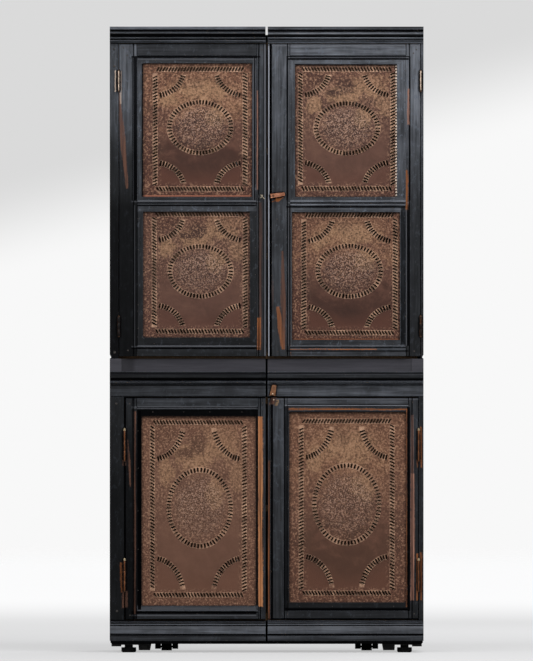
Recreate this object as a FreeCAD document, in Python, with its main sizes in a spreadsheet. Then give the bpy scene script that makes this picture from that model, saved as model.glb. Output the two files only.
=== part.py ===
import FreeCAD, Part
import math
import os
import Sketcher

# A two-tier pie safe: four inset doors with punched-tin panels in a boarded case.
# Frame: +Z up, the front faces -Y, the origin is on the floor under the middle. Millimetres.

DRIVING = {
    # case
    "case_width": 910, "case_back": 227.5, "face_front": -211.5, "side_board": 18,
    "skid_bottom": 25, "skid_board": 9, "skid_inset": 2, "skid_bevel": 4,
    "case_top": 1791, "top_thick": 24, "board_thick": 18, "door_thick": 22, "rail_thick": 18,
    "back_thick": 10, "back_rebate": 2, "back_count": 5, "back_gap": 1,
    "waist_kerf": 6, "kerf_half": 6, "kerf_level": 858,
    # levels of the front boards
    "plinth_top": 93, "lower_door_base": 95.5, "lower_door_head": 740, "frieze_base": 741.5,
    "waist_base": 777.5, "grip_base": 814.5, "grip_top": 852, "upper_door_base": 858.5,
    "upper_door_head": 1765.5, "cornice_base": 1766.8,
    # seam between the two halves of every front board
    "seam_half": 3.2,
    "grip_block": 33, "grip_lip": 4, "grip_run": 50, "grip_depth": 14, "grip_sag": 5,
    # shelves and stops
    "shelf_thick": 16, "shelf_low": 409, "shelf_mid": 1142, "shelf_high": 1448,
    "cleat_high": 20, "cleat_wide": 14, "stop_high": 20, "stop_wide": 12,
    # hinges
    "hinge_out": 5, "barrel": 4.5, "pin_round": 2, "pin_bore": 2.14, "knuckle_gap": 0.3,
    "knuckle_flats": 12,
    "door_gap": 1.5, "leaf_thick": 1.6, "leaf_wide": 15, "upper_leaf": 56, "lower_leaf": 88,
    "ul_hinge_x": -429, "ur_hinge_x": 447, "ll_hinge_x": -412, "lr_hinge_x": 441,
    "ul_lock_x": -1.5, "ur_lock_x": 3.5, "ll_lock_x": -3, "lr_lock_x": 3.5,
    "upper_hinge_low": 946, "upper_hinge_high": 1658, "lower_hinge_low": 223, "lower_hinge_high": 600,
    # door frames
    "ledge": 8, "strip_drop": 2, "strip_thick": 9, "strip_mitre": 0.25,
    "tin_thick": 0.8, "tin_gap": 0.5, "quirk": 3, "quirk_run": 2.5, "rail_quirk_run": 1,
    "arris": 1.5, "tenon_long": 18, "tenon_front": 4, "tenon_thick": 7, "tenon_shoulder": 3,
    "ul_hinge_stile": 53.5, "ul_lock_stile": 28.5, "ul_hinge_bead": 11, "ul_lock_bead": 7,
    "ur_hinge_stile": 43, "ur_lock_stile": 65, "ur_hinge_bead": 11, "ur_lock_bead": 8,
    "ll_hinge_stile": 36, "ll_lock_stile": 22.5, "ll_hinge_bead": 10, "ll_lock_bead": 7,
    "lr_hinge_stile": 30.5, "lr_lock_stile": 57, "lr_hinge_bead": 12, "lr_lock_bead": 9,
    "upper_top_rail": 41.5, "upper_bottom_rail": 32.5, "mid_rail_base": 1295, "mid_rail_high": 16.5,
    "ll_top_rail": 36.5, "ll_bottom_rail": 27, "lr_top_rail": 28.5, "lr_bottom_rail": 33.5,
    "bead_rise": 2.5, "rail_bead": 7, "edge_bead": 5, "edge_quirk": 6, "edge_sag": 2,
    # turn buttons
    "button_thick": 9, "button_lift": 0.4, "button_pin": 2.6, "button_hole": 2.66, "button_reach": 11,
    "button_nose": 2.5, "button_swell": 2, "button_taper": 0.8,
    "upper_button_x": 19, "upper_button_z": 1325, "upper_button_arm": 34.5, "upper_button_tail": 11,
    "upper_button_half": 6.2, "upper_button_tilt": 8,
    "lower_button_x": 17.8, "lower_button_z": 750.3, "lower_button_arm": 26.2,
    "lower_button_tail": 8.4, "lower_button_half": 8, "lower_button_tilt": 80,
    # levelling feet and rollers
    "foot_x": 400, "foot_y": -178, "foot_round": 21.5, "foot_high": 14.5, "foot_edge": 3.2,
    "foot_flats": 12,
    "neck_round": 12, "stem_round": 4, "stem_fit": 0.08, "stem_top": 62, "stem_room": 7,
    "nut_base": 20, "bracket_plate": 3, "bracket_outer": 450, "bracket_inner": 335, "bracket_deep": 56,
    "stub_inner": 422, "stub_base": 17.5, "block_outer": 372, "block_base": 6.4, "block_draft": 3,
    "block_inset": 8,
    "roller_x": 291.8, "roller_y": 178, "roller_round": 11.5, "roller_wide": 30.5,
    "cheek_gap": 1.4, "cheek_thick": 17, "cheek_base": 5, "cheek_deep": 40, "cheek_plate": 1,
    "axle_round": 3, "axle_flats": 12, "axle_fit": 0.06,
}

# Width of the flat strips that hold each tin, in the order left, right, top, bottom.
STRIPS = {
    "ul_high": (15.5, 11.5, 14.5, 9.5), "ul_low": (16, 18, 16, 22),
    "ur_high": (13.5, 25, 18.5, 9.5), "ur_low": (4.5, 16, 17.5, 15.5),
    "ll": (12, 4.5, 17.5, 12.5), "lr": (4.5, 4.5, 14, 15.5),
}
STRIP_SIDES = ("left", "right", "top", "bottom")

# Sections of the front mouldings from the foot up: how far each corner stands in front of the
# doors, its level above the foot and, where an arc ends at it, how far that arc swells out.
SECTIONS = {
    "cornice": ((3, 0), (3, 4.2), (6, 5.2), (8.2, 6.4), (8.2, 9.2), (6, 10.4), (6, 12.4), (8.5, 13.4),
                (10.7, 14.6), (10.7, 17.4), (8.5, 18.6), (8.5, 19.6), (13, 29.6, -2.6), (13.5, 31),
                (13.5, 35.6, 2), (11, 37), (11, 39.4), (16, 40.4), (16, 48.2)),
    "waist_moulding": ((5, 0), (5, 4.6), (11, 5.4), (11, 11.8, 3), (8, 12.4), (8, 16.6), (13.5, 17.4),
                       (15.5, 19.4), (15.5, 29), (13.5, 31), (7, 32), (7, 37)),
    "frieze": ((-2, 0), (0, 2), (0, 34), (-2, 36)),
    "plinth": ((15.5, 0), (15.5, 14), (11.5, 15.4), (11.5, 19.4), (15, 20.6), (8, 43, -1.6), (6.5, 43.6),
               (6.5, 45.2), (9.5, 46), (9.5, 54, 2.2), (4, 55.4), (4, 59)),
}
SECTION_SIZES = ("out", "up", "rise")

# Punched pattern: slots are wedges, so many along the ring, each border and each corner fan.
PUNCH = {
    "slot_long": 14, "slot_wide": 3.4, "border_inset": 19, "border_slant": 25,
    "ring_slots": 16, "fan_slots": 3, "short_slots": 5, "long_slots": 5,
    "fan_radius": 74, "upper_ring_across": 94, "upper_ring_up": 77,
    "lower_ring_across": 95, "lower_ring_up": 112,
}

doc = FreeCAD.newDocument("pie_safe")
sheet = doc.addObject("Spreadsheet::Sheet", "dims")


def fill_sheet():
    """Put every driving dimension in a cell of its own, with its name as the alias."""
    rows = dict(DRIVING)
    for key, widths in STRIPS.items():
        for side, width in zip(STRIP_SIDES, widths):
            rows[f"{key}_strip_{side}"] = width
    rows.update(PUNCH)
    for name, corners in SECTIONS.items():
        for mark, corner in enumerate(corners):
            rows.update({f"{name}_{size}_{mark}": reach for size, reach in zip(SECTION_SIZES, corner)})
    for row, (name, value) in enumerate(rows.items(), start=1):
        sheet.set(f"A{row}", name)
        sheet.set(f"B{row}", str(value))
        sheet.setAlias(f"B{row}", name)
    doc.recompute()


fill_sheet()
nodes = []


def value(expression):
    """The number that an expression over the sheet's cells stands for."""
    return float(sheet.evalExpression(str(expression)))


def keep(thing, label):
    """List a finished sub-part under the name of its node."""
    thing.Label = label
    nodes.append(thing)
    return thing


def place(thing, x="0", y="0", z="0"):
    """Bind a sub-part's place to the sheet."""
    for axis, expression in zip("xyz", (x, y, z)):
        thing.setExpression(f"Placement.Base.{axis}", str(expression))
    return thing


# ---------------------------------------------------------------- building blocks

def board(name, x, y, z):
    """A plain board between two limits on each axis, each limit an expression."""
    box = doc.addObject("Part::Box", name)
    for size, (low, high) in zip(("Length", "Width", "Height"), (x, y, z)):
        box.setExpression(size, f"({high}) - ({low})")
    return place(box, x[0], y[0], z[0])


TURNS = {"Z": FreeCAD.Rotation(), "X": FreeCAD.Rotation(FreeCAD.Vector(0, 1, 0), 90),
         "Y": FreeCAD.Rotation(FreeCAD.Vector(1, 0, 0), -90)}


def rod(name, radius, length, x, y, z, axis="Z"):
    """A round bar that starts at a point and runs along Z, X or Y."""
    bar = doc.addObject("Part::Cylinder", name)
    bar.setExpression("Radius", str(radius))
    bar.setExpression("Height", str(length))
    bar.Placement = FreeCAD.Placement(FreeCAD.Vector(), TURNS[axis])
    return place(bar, x, y, z)


def flat_bar(name, flats, radius, length, x, y, z, axis="Z"):
    """A bar with so many flats, its corners at the given radius."""
    bar = doc.addObject("Part::Prism", name)
    bar.Polygon = int(value(flats))
    bar.setExpression("Circumradius", str(radius))
    bar.setExpression("Height", str(length))
    bar.Placement = FreeCAD.Placement(FreeCAD.Vector(), TURNS[axis])
    return place(bar, x, y, z)


def joined(name, pieces):
    """Pieces that are one solid."""
    fuse = doc.addObject("Part::MultiFuse", name)
    fuse.Shapes = pieces
    fuse.Refine = True
    return fuse


def group(name, pieces):
    """Separate solids that share one node."""
    compound = doc.addObject("Part::Compound", name)
    compound.Links = pieces
    return compound


def cut(name, base, tools):
    """A piece less the union of its tools."""
    less = doc.addObject("Part::Cut", name)
    less.Base = base
    less.Tool = tools[0] if len(tools) == 1 else joined(name + "_tools", tools)
    less.Refine = True
    return less


def plane(body, role):
    return next(item for item in body.Origin.OriginFeatures if item.Role == role)


def new_sketch(body, name, role):
    sketch = body.newObject("Sketcher::SketchObject", name)
    sketch.AttachmentSupport = [(plane(body, role), "")]
    sketch.MapMode = "FlatFace"
    return sketch


def draw(sketch, start, steps):
    """Draw a closed outline and bind every corner and arc to the sheet.

    start is (u, v); a step is (u, v) for a line, or (u, v, rise) for an arc whose middle
    stands rise to the right of the straight way, all as expressions.
    """
    corners = [start] + [step[:2] for step in steps]
    spots = [FreeCAD.Vector(value(u), value(v), 0) for u, v in corners]
    rises = [step[2] if len(step) == 3 else None for step in steps]
    if (spots[-1] - spots[0]).Length > 1e-6:
        corners.append(start)
        spots.append(spots[0])
        rises.append(None)
    for index, rise in enumerate(rises):
        first, last = spots[index], spots[index + 1]
        if rise is None:
            sketch.addGeometry(Part.LineSegment(first, last), False)
            continue
        way = last - first
        side = FreeCAD.Vector(way.y, -way.x, 0).normalize()
        middle = (first + last) * 0.5 + side * value(rise)
        sketch.addGeometry(arc_through(first, middle, last), False)
    bind_corners(sketch, corners, rises, spots)


def arc_through(first, middle, last):
    """The arc through three points, kept counter-clockwise about +Z as a sketch needs it."""
    bent = Part.Arc(first, middle, last).toShape().Curve
    circle = Part.Circle(bent.Center, FreeCAD.Vector(0, 0, 1), bent.Radius)
    start, mid, end = [math.atan2(spot.y - bent.Center.y, spot.x - bent.Center.x)
                       for spot in (first, middle, last)]
    forward = (mid - start) % (2 * math.pi) < (end - start) % (2 * math.pi)
    return Part.ArcOfCircle(circle, start, end) if forward else Part.ArcOfCircle(circle, end, start)


def bind_corners(sketch, corners, rises, spots):
    """Tie the ends of neighbouring edges and fix each corner by two named distances."""
    count = len(rises)
    ends = []
    for index in range(count):
        edge = sketch.Geometry[index]
        swapped = (edge.StartPoint - spots[index]).Length > 1e-6
        ends.append((2, 1) if swapped else (1, 2))
    for index in range(count):
        after = (index + 1) % count
        sketch.addConstraint(Sketcher.Constraint("Coincident", index, ends[index][1], after, ends[after][0]))
    for index in range(count):
        for kind, expression in zip(("DistanceX", "DistanceY"), corners[index]):
            size = value(expression)
            mark = sketch.addConstraint(Sketcher.Constraint(kind, -1, 1, index, ends[index][0], size))
            sketch.renameConstraint(mark, f"{kind[-1].lower()}_{index}")
            sketch.setExpression(f"Constraints.{kind[-1].lower()}_{index}", str(expression))
        if rises[index] is not None:
            mark = sketch.addConstraint(Sketcher.Constraint("Radius", index, sketch.Geometry[index].Radius))
            sketch.renameConstraint(mark, f"arc_{index}")


def extrusion(name, role, start, steps, length):
    """A body made by padding one bound outline."""
    body = doc.addObject("PartDesign::Body", name)
    sketch = new_sketch(body, name + "_outline", role)
    draw(sketch, start, steps)
    pad = body.newObject("PartDesign::Pad", name + "_pad")
    pad.Profile = sketch
    pad.setExpression("Length", str(length))
    return body


HALF = "dims.case_width / 2"
FACE = "dims.face_front"
DOOR_BACK = "dims.face_front + dims.door_thick"
BACK_FRONT = "dims.case_back - dims.back_rebate - dims.back_thick"
INNER = "(dims.case_width / 2 - dims.side_board)"
SKID_TOP = "dims.skid_bottom + dims.skid_board"
RAIL_BACK = "dims.face_front + dims.door_thick + dims.rail_thick"
SIGN = {"left": -1, "right": 1}


# ---------------------------------------------------------------- case

def side_boards():
    """Full-height side boards with a V-kerf round the waist."""
    for hand, sign in SIGN.items():
        body = extrusion(
            f"side_{hand}_board", "XZ_Plane", (f"{sign} * {HALF}", SKID_TOP),
            [(f"{sign} * {HALF}", "dims.kerf_level - dims.kerf_half"),
             (f"{sign} * ({HALF} - dims.waist_kerf)", "dims.kerf_level"),
             (f"{sign} * {HALF}", "dims.kerf_level + dims.kerf_half"),
             (f"{sign} * {HALF}", "dims.case_top"),
             (f"{sign} * {INNER}", "dims.case_top"),
             (f"{sign} * {INNER}", SKID_TOP)],
            f"dims.case_back - ({DOOR_BACK})")
        keep(place(body, y="dims.case_back"), f"side_{hand}")


def stile_mortises(name, hinge_x, levels, length, sign, into_case):
    """Shallow seats for the hinge leaves in an edge beside the hinge line."""
    way = sign if into_case else -sign
    near = f"{hinge_x} + {way} * dims.door_gap / 2"
    far = f"{hinge_x} + {way} * (dims.door_gap / 2 + dims.leaf_thick)"
    limits = (near, far) if way > 0 else (far, near)
    seats = []
    for mark, level in enumerate(levels):
        seats.append(board(f"{name}_seat_{mark}", limits, (FACE, f"{FACE} + dims.leaf_wide"),
                           (f"{level} - {length} / 2", f"{level} + {length} / 2")))
    return seats


def case_stiles():
    """Posts beside the doors; the upper ones are cut away at the foot by the waist kerf."""
    for hand, sign in SIGN.items():
        outer = f"{sign} * {HALF}"
        for tier, hinge in (("upper", f"dims.u{hand[0]}_hinge_x"), ("lower", f"dims.l{hand[0]}_hinge_x")):
            inner = f"{hinge} + {sign} * dims.door_gap / 2"
            if tier == "upper":
                low, high = "dims.grip_top", "dims.case_top"
                outline = [(outer, high), (inner, high), (inner, low),
                           (f"{sign} * ({HALF} - dims.waist_kerf)", low)]
                start = (outer, "dims.kerf_level + dims.kerf_half")
            else:
                low, high = SKID_TOP, "dims.frieze_base"
                outline = [(outer, high), (inner, high), (inner, low)]
                start = (outer, low)
            post = extrusion(f"{tier}_post_{hand}", "XZ_Plane", start, outline, "dims.door_thick")
            place(post, y=DOOR_BACK)
            levels = [f"dims.{tier}_hinge_low", f"dims.{tier}_hinge_high"]
            seats = stile_mortises(f"{tier}_post_{hand}", hinge, levels, f"dims.{tier}_leaf", sign, True)
            keep(cut(f"{tier}_stile_{hand}_cut", post, seats), f"{tier}_stile_{hand}")


def deep_board(name, left_x, right_x, low, high):
    """A board that reaches the face between the stiles and fills the case behind them."""
    body = extrusion(
        f"{name}_plan", "XY_Plane", (f"-{INNER}", BACK_FRONT),
        [(f"-{INNER}", DOOR_BACK), (left_x, DOOR_BACK), (left_x, FACE), (right_x, FACE),
         (right_x, DOOR_BACK), (INNER, DOOR_BACK), (INNER, BACK_FRONT)],
        f"({high}) - ({low})")
    keep(place(body, z=low), name)


def carcass():
    """Top, waist and bottom boards, waist rail, shelves on cleats, stops and back."""
    gap = "dims.door_gap / 2"
    deep_board("top_board", f"dims.ul_hinge_x - {gap}", f"dims.ur_hinge_x + {gap}",
               "dims.case_top - dims.top_thick", "dims.case_top")
    deep_board("bottom_board", f"dims.ll_hinge_x - {gap}", f"dims.lr_hinge_x + {gap}",
               "dims.plinth_top - dims.board_thick", "dims.plinth_top")
    wide = (f"-{INNER}", INNER)
    keep(board("waist_rail_board", wide, (DOOR_BACK, RAIL_BACK), ("dims.frieze_base", "dims.grip_top")),
         "waist_rail")
    keep(board("waist_floor", wide, (RAIL_BACK, BACK_FRONT),
               ("dims.grip_top - dims.board_thick", "dims.grip_top")), "waist_board")
    stop_y = (DOOR_BACK, f"{DOOR_BACK} + dims.stop_wide")
    stops = []
    for mark, base in enumerate(("dims.case_top - dims.top_thick - dims.stop_high", "dims.grip_top",
                                 "dims.frieze_base - dims.stop_high", "dims.plinth_top")):
        stops.append(board(f"stop_{mark}", wide, stop_y, (base, f"{base} + dims.stop_high")))
    keep(group("stop_battens", stops), "door_stops")
    shelves = []
    cleats = []
    shelf_y = (f"{DOOR_BACK} + dims.stop_wide", BACK_FRONT)
    for level in ("low", "mid", "high"):
        base = f"dims.shelf_{level}"
        shelves.append(board(f"shelf_{level}", wide, shelf_y, (base, f"{base} + dims.shelf_thick")))
        for hand, sign in SIGN.items():
            near, far = f"{sign} * ({INNER} - dims.cleat_wide)", f"{sign} * {INNER}"
            limits = (near, far) if sign > 0 else (far, near)
            cleats.append(board(f"cleat_{level}_{hand}", limits, shelf_y,
                                (f"{base} - dims.cleat_high", base)))
    keep(group("shelf_boards", shelves), "shelves")
    keep(group("cleat_battens", cleats), "shelf_cleats")
    pitch = "((dims.case_width - 2 * dims.side_board) / dims.back_count)"
    backs = []
    for mark in range(int(value("dims.back_count"))):
        left = f"{mark} * {pitch} - {INNER} + dims.back_gap / 2"
        backs.append(board(f"back_{mark}", (left, f"{left} + {pitch} - dims.back_gap"),
                           (BACK_FRONT, "dims.case_back - dims.back_rebate"), (SKID_TOP, "dims.case_top")))
    keep(group("back_planks", backs), "back_boards")


# ---------------------------------------------------------------- mouldings on the front

def moulding(name, back, foot, sockets=()):
    """Left and right halves of a moulding from its section.

    sockets are (hand, x, z) of holes bored into its face for a turn button's pin.
    """
    corners = []
    for mark, corner in enumerate(SECTIONS[name]):
        cells = [f"dims.{name}_{size}_{mark}" for size in SECTION_SIZES[:len(corner)]]
        corners.append((f"{FACE} - {cells[0]}", f"{foot} + {cells[1]}", *cells[2:]))
    start = (back, corners[0][1])
    steps = corners + [(back, corners[-1][1])]
    for hand in SIGN:
        half = extrusion(f"{name}_{hand}_run", "YZ_Plane", start, steps, f"{HALF} - dims.seam_half")
        place(half, x=f"-{HALF}" if hand == "left" else "dims.seam_half")
        bores = [pin_socket(f"{name}_{hand}_socket", x, z) for side, x, z in sockets if side == hand]
        if bores:
            half = cut(f"{name}_{hand}_bored", half, bores)
        keep(half, f"{name}_{hand}")


def pin_socket(name, x, z):
    """The bore in the wood behind a turn button that takes its pin."""
    return rod(name, "dims.button_hole", "dims.button_reach + 1", x, f"{FACE} - 1", z, "Y")


def front_mouldings():
    """Cornice, waist moulding, frieze with the lower button's socket, and plinth."""
    moulding("cornice", FACE, "dims.cornice_base")
    moulding("waist_moulding", DOOR_BACK, "dims.waist_base")
    moulding("frieze", DOOR_BACK, "dims.frieze_base",
             [("right", "dims.lower_button_x", "dims.lower_button_z")])
    moulding("plinth", FACE, SKID_TOP)


def grip_rails():
    """Finger rails: an end block flush with the face, then a hollow that opens to the seam."""
    for hand, sign in SIGN.items():
        block = f"{sign} * ({HALF} - dims.grip_block)"
        flat = f"{sign} * ({HALF} - dims.grip_block - dims.grip_run)"
        deep = f"{FACE} + dims.grip_depth"
        body = extrusion(
            f"grip_{hand}_plan", "XY_Plane", (f"{sign} * {HALF}", DOOR_BACK),
            [(f"{sign} * {HALF}", FACE), (block, FACE), (block, f"{FACE} + dims.grip_lip"),
             (flat, deep, f"{sign} * dims.grip_sag"), (f"{sign} * dims.seam_half", deep),
             (f"{sign} * dims.seam_half", DOOR_BACK)],
            "dims.grip_top - dims.grip_base")
        keep(place(body, z="dims.grip_base"), f"grip_rail_{hand}")


def base_skid():
    """The board that the case stands on, its ends bevelled below, with a mortise over each foot's stem."""
    half = f"({HALF} - dims.skid_inset)"
    body = extrusion(
        "skid_plate", "XZ_Plane", (f"-{half}", SKID_TOP),
        [(half, SKID_TOP), (half, "dims.skid_bottom + dims.skid_bevel"),
         (f"{half} - dims.skid_bevel", "dims.skid_bottom"),
         (f"-{half} + dims.skid_bevel", "dims.skid_bottom"),
         (f"-{half}", "dims.skid_bottom + dims.skid_bevel")],
        f"dims.case_back - ({FACE} - dims.plinth_out_0)")
    place(body, y="dims.case_back")
    mortises = []
    for hand, sign in SIGN.items():
        centre = f"{sign} * dims.foot_x"
        mortises.append(board(f"stem_mortise_{hand}",
                              (f"{centre} - dims.stem_room", f"{centre} + dims.stem_room"),
                              ("dims.foot_y - dims.stem_room", "dims.foot_y + dims.stem_room"),
                              ("dims.skid_bottom", SKID_TOP)))
    keep(cut("skid_cut", body, mortises), "base_skid")


# ---------------------------------------------------------------- hinges

def hinge_pair(door, hand, tier):
    """The two hinges of a door: fixed leaves with their pins, and leaves on the door."""
    sign = SIGN[hand]
    axis_x, axis_y = f"dims.{door}_hinge_x", f"{FACE} - dims.hinge_out"
    length = f"dims.{tier}_leaf"
    fixed = []
    moving = []
    for mark in ("low", "high"):
        base = f"dims.{tier}_hinge_{mark} - {length} / 2"
        third = f"{length} / 3"
        spans = {"foot": (base, f"{base} + {third} - dims.knuckle_gap"),
                 "mid": (f"{base} + {third}", f"{base} + 2 * {third}"),
                 "head": (f"{base} + 2 * {third} + dims.knuckle_gap", f"{base} + {length}")}
        for side, way, knuckles in (("case", sign, ("foot", "head")), ("door", -sign, ("mid",))):
            name = f"{door}_{side}_leaf_{mark}"
            near = f"{axis_x} + {way} * dims.door_gap / 2"
            far = f"{axis_x} + {way} * (dims.door_gap / 2 + dims.leaf_thick)"
            limits = (near, far) if way > 0 else (far, near)
            pieces = [board(f"{name}_plate", limits, (FACE, f"{FACE} + dims.leaf_wide"),
                            (base, f"{base} + {length}"))]
            for knuckle in knuckles:
                low, high = spans[knuckle]
                pieces.append(board(f"{name}_{knuckle}_web", limits, (axis_y, FACE), (low, high)))
                pieces.append(flat_bar(f"{name}_{knuckle}", "dims.knuckle_flats", "dims.barrel",
                                       f"({high}) - ({low})", axis_x, axis_y, low))
            if side == "case":
                pieces.append(rod(f"{name}_pin", "dims.pin_round", f"{third} + 2 * dims.knuckle_gap",
                                  axis_x, axis_y, f"{base} + {third} - dims.knuckle_gap"))
                fixed.append(joined(name, pieces))
            else:
                bore = flat_bar(f"{name}_bore", "dims.knuckle_flats", "dims.pin_bore", length,
                                axis_x, axis_y, base)
                moving.append(cut(name, joined(f"{name}_solid", pieces), [bore]))
    keep(group(f"{door}_moving_leaves", moving), f"{DOORS[door]['name']}_hinge_leaves")
    return fixed


# ---------------------------------------------------------------- doors

def stile(door, role, outer_x, width, bead, inward, low, high, edge=False):
    """An upright with a beaded inner edge, a ledge behind it for the tin and, on the closing
    edge of a right-hand door, a bead and quirk down the outside."""
    def at(expression):
        return f"{inward} * ({expression})"

    width, bead = f"({width})", f"({bead})"
    start = (at("0"), "dims.door_thick")
    steps = [(at(f"{width} + dims.ledge"), "dims.door_thick"),
             (at(f"{width} + dims.ledge"), "dims.strip_drop + dims.strip_thick + dims.tin_thick"),
             (at(width), "dims.strip_drop + dims.strip_thick + dims.tin_thick"),
             (at(width), "dims.quirk"),
             (at(f"{width} - {bead}"), "dims.quirk", f"{-inward} * dims.bead_rise"),
             (at(f"{width} - {bead} - dims.quirk_run"), "0")]
    if edge:
        steps += [(at("dims.edge_bead + dims.edge_quirk"), "0"),
                  (at("dims.edge_bead + dims.edge_quirk"), "dims.edge_sag + 2"),
                  (at("dims.edge_bead"), "dims.edge_sag + 2"),
                  (at("dims.edge_bead"), "dims.edge_sag"),
                  (at("0"), "dims.edge_sag", f"{-inward} * dims.edge_sag")]
    else:
        steps += [(at("dims.arris"), "0"), (at("0"), "dims.arris")]
    body = extrusion(f"{door}_{role}_run", "XY_Plane", start, steps, f"({high}) - ({low})")
    return place(body, outer_x, FACE, low)


def rail(door, role, low, high, left, right, beads):
    """A tenoned cross rail, with a bead and a ledge on each edge that meets a tin; its ends are
    notched over the ledges of the stiles. Returns the rail and the block that cuts its mortises."""
    deep = "dims.strip_drop + dims.strip_thick + dims.tin_thick"
    bead, run = "dims.rail_bead", "dims.rail_quirk_run"
    foot = f"{low} - dims.ledge" if "low" in beads else low
    head = f"{high} + dims.ledge" if "high" in beads else high
    steps = []
    if "low" in beads:
        steps += [(deep, foot), (deep, low), ("dims.quirk", low),
                  ("dims.quirk", f"{low} + {bead}", "-dims.bead_rise"), ("0", f"{low} + {bead} + {run}")]
    else:
        steps += [("dims.arris", low), ("0", f"{low} + dims.arris")]
    if "high" in beads:
        steps += [("0", f"{high} - {bead} - {run}"), ("dims.quirk", f"{high} - {bead}"),
                  ("dims.quirk", high, "-dims.bead_rise"), (deep, high), (deep, head)]
    else:
        steps += [("0", f"{high} - dims.arris"), ("dims.arris", high)]
    steps.append(("dims.door_thick", head))
    name = f"{door}_{role}_rail"
    body = extrusion(name, "YZ_Plane", ("dims.door_thick", foot), steps, f"({right}) - ({left})")
    place(body, x=left, y=FACE)
    notch_y = (f"{FACE} + {deep}", DOOR_BACK)
    notches = [board(f"{name}_notch_left", (left, f"{left} + dims.ledge"), notch_y, (foot, head)),
               board(f"{name}_notch_right", (f"{right} - dims.ledge", right), notch_y, (foot, head))]
    tenons = board(f"{name}_tenons", (f"{left} - dims.tenon_long", f"{right} + dims.tenon_long"),
                   (f"{FACE} + dims.tenon_front", f"{FACE} + dims.tenon_front + dims.tenon_thick"),
                   (f"{low} + dims.tenon_shoulder", f"{high} - dims.tenon_shoulder"))
    return joined(f"{name}_tenoned", [cut(f"{name}_notched", body, notches), tenons]), tenons


def closed(points):
    """Straight edges round a closed outline."""
    spots = [FreeCAD.Vector(u, v, 0) for u, v in points]
    return [Part.LineSegment(spot, spots[(index + 1) % len(spots)]) for index, spot in enumerate(spots)]


def wedge(u, v, angle, long, wide):
    """A wedge slot centred at (u, v) whose point lies in the direction of angle."""
    along = (math.cos(angle), math.sin(angle))
    across = (-along[1], along[0])
    corners = []
    for run, side in ((0.5, 0), (-0.5, 0.5), (-0.5, -0.5)):
        corners.append((u + run * long * along[0] + side * wide * across[0],
                        v + run * long * along[1] + side * wide * across[1]))
    return closed(corners)


def punched_slots(left, right, base, top, across, up):
    """The pattern on one tin: slanted border slots, a ring of rays and a fan in each corner."""
    long, wide = value("dims.slot_long"), value("dims.slot_wide")
    inset = value("dims.border_inset")
    slots = []
    in_left, in_right, in_base, in_top = left + inset, right - inset, base + inset, top - inset
    lean = math.radians(value("dims.border_slant"))
    short, tall = int(value("dims.short_slots")), int(value("dims.long_slots"))
    for step in range(short):
        u = in_left + (in_right - in_left) * (step + 0.5) / short
        slots += wedge(u, in_base, math.pi / 2 - lean, long, wide)
        slots += wedge(u, in_top, math.pi / 2 + lean, long, wide)
    for step in range(tall):
        v = in_base + (in_top - in_base) * (step + 0.5) / tall
        slots += wedge(in_left, v, lean, long, wide)
        slots += wedge(in_right, v, math.pi - lean, long, wide)
    mid_u, mid_v = (left + right) / 2, (base + top) / 2
    count = int(value("dims.ring_slots"))
    for step in range(count):
        turn = 2 * math.pi * step / count
        ray = math.atan2(across * math.sin(turn), up * math.cos(turn))
        slots += wedge(mid_u + across * math.cos(turn), mid_v + up * math.sin(turn), ray, long, wide)
    fan, reach = int(value("dims.fan_slots")), value("dims.fan_radius")
    for corner_u, corner_v, first in ((in_left, in_base, 0), (in_right, in_base, 90),
                                      (in_right, in_top, 180), (in_left, in_top, 270)):
        for step in range(fan):
            turn = math.radians(first + 90 * (step + 0.75) / (fan + 0.5))
            slots += wedge(corner_u + reach * math.cos(turn), corner_v + reach * math.sin(turn),
                           turn, long, wide)
    return slots


def tin(name, key, left, right, low, high, ring):
    """A punched sheet that fills its opening, seated on the ledges of the frame."""
    gap = value("dims.tin_gap")
    u0, u1, v0, v1 = value(left) + gap, value(right) - gap, value(low) + gap, value(high) - gap
    shown = [value(left) + value(f"dims.{key}_strip_left"), value(right) - value(f"dims.{key}_strip_right"),
             value(low) + value(f"dims.{key}_strip_bottom"), value(high) - value(f"dims.{key}_strip_top")]
    body = doc.addObject("PartDesign::Body", f"{name}_sheet")
    sketch = new_sketch(body, f"{name}_pattern", "XZ_Plane")
    corners = [(u0, v0), (u1, v0), (u1, v1), (u0, v1)]
    across, up = value(f"dims.{ring}_ring_across"), value(f"dims.{ring}_ring_up")
    sketch.addGeometry(closed(corners) + punched_slots(*shown, across, up), False)
    pad = body.newObject("PartDesign::Pad", f"{name}_pad")
    pad.Profile = sketch
    pad.setExpression("Length", "dims.tin_thick")
    keep(place(body, y=f"{FACE} + dims.strip_drop + dims.strip_thick + dims.tin_thick"), name)


def strip_ring(name, key, left, right, low, high):
    """Four mitred strips over the edges of one tin."""
    wide = {side: value(f"dims.{key}_strip_{side}") for side in STRIP_SIDES}
    u0, u1, v0, v1 = value(left), value(right), value(low), value(high)
    a0, a1 = u0 + wide["left"], u1 - wide["right"]
    b0, b1 = v0 + wide["bottom"], v1 - wide["top"]
    cut_gap = value("dims.strip_mitre")
    body = doc.addObject("PartDesign::Body", name)
    body.AllowCompound = True
    sketch = new_sketch(body, f"{name}_mitres", "XZ_Plane")
    outlines = [[(u0, v0 + cut_gap), (a0, b0 + cut_gap), (a0, b1 - cut_gap), (u0, v1 - cut_gap)],
                [(u1, v0 + cut_gap), (u1, v1 - cut_gap), (a1, b1 - cut_gap), (a1, b0 + cut_gap)],
                [(u0, v0), (u1, v0), (a1, b0), (a0, b0)],
                [(u0, v1), (a0, b1), (a1, b1), (u1, v1)]]
    for outline in outlines:
        sketch.addGeometry(closed(outline), False)
    pad = body.newObject("PartDesign::Pad", f"{name}_pad")
    pad.Profile = sketch
    pad.setExpression("Length", "dims.strip_thick")
    return place(body, y=f"{FACE} + dims.strip_drop + dims.strip_thick")


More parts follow.
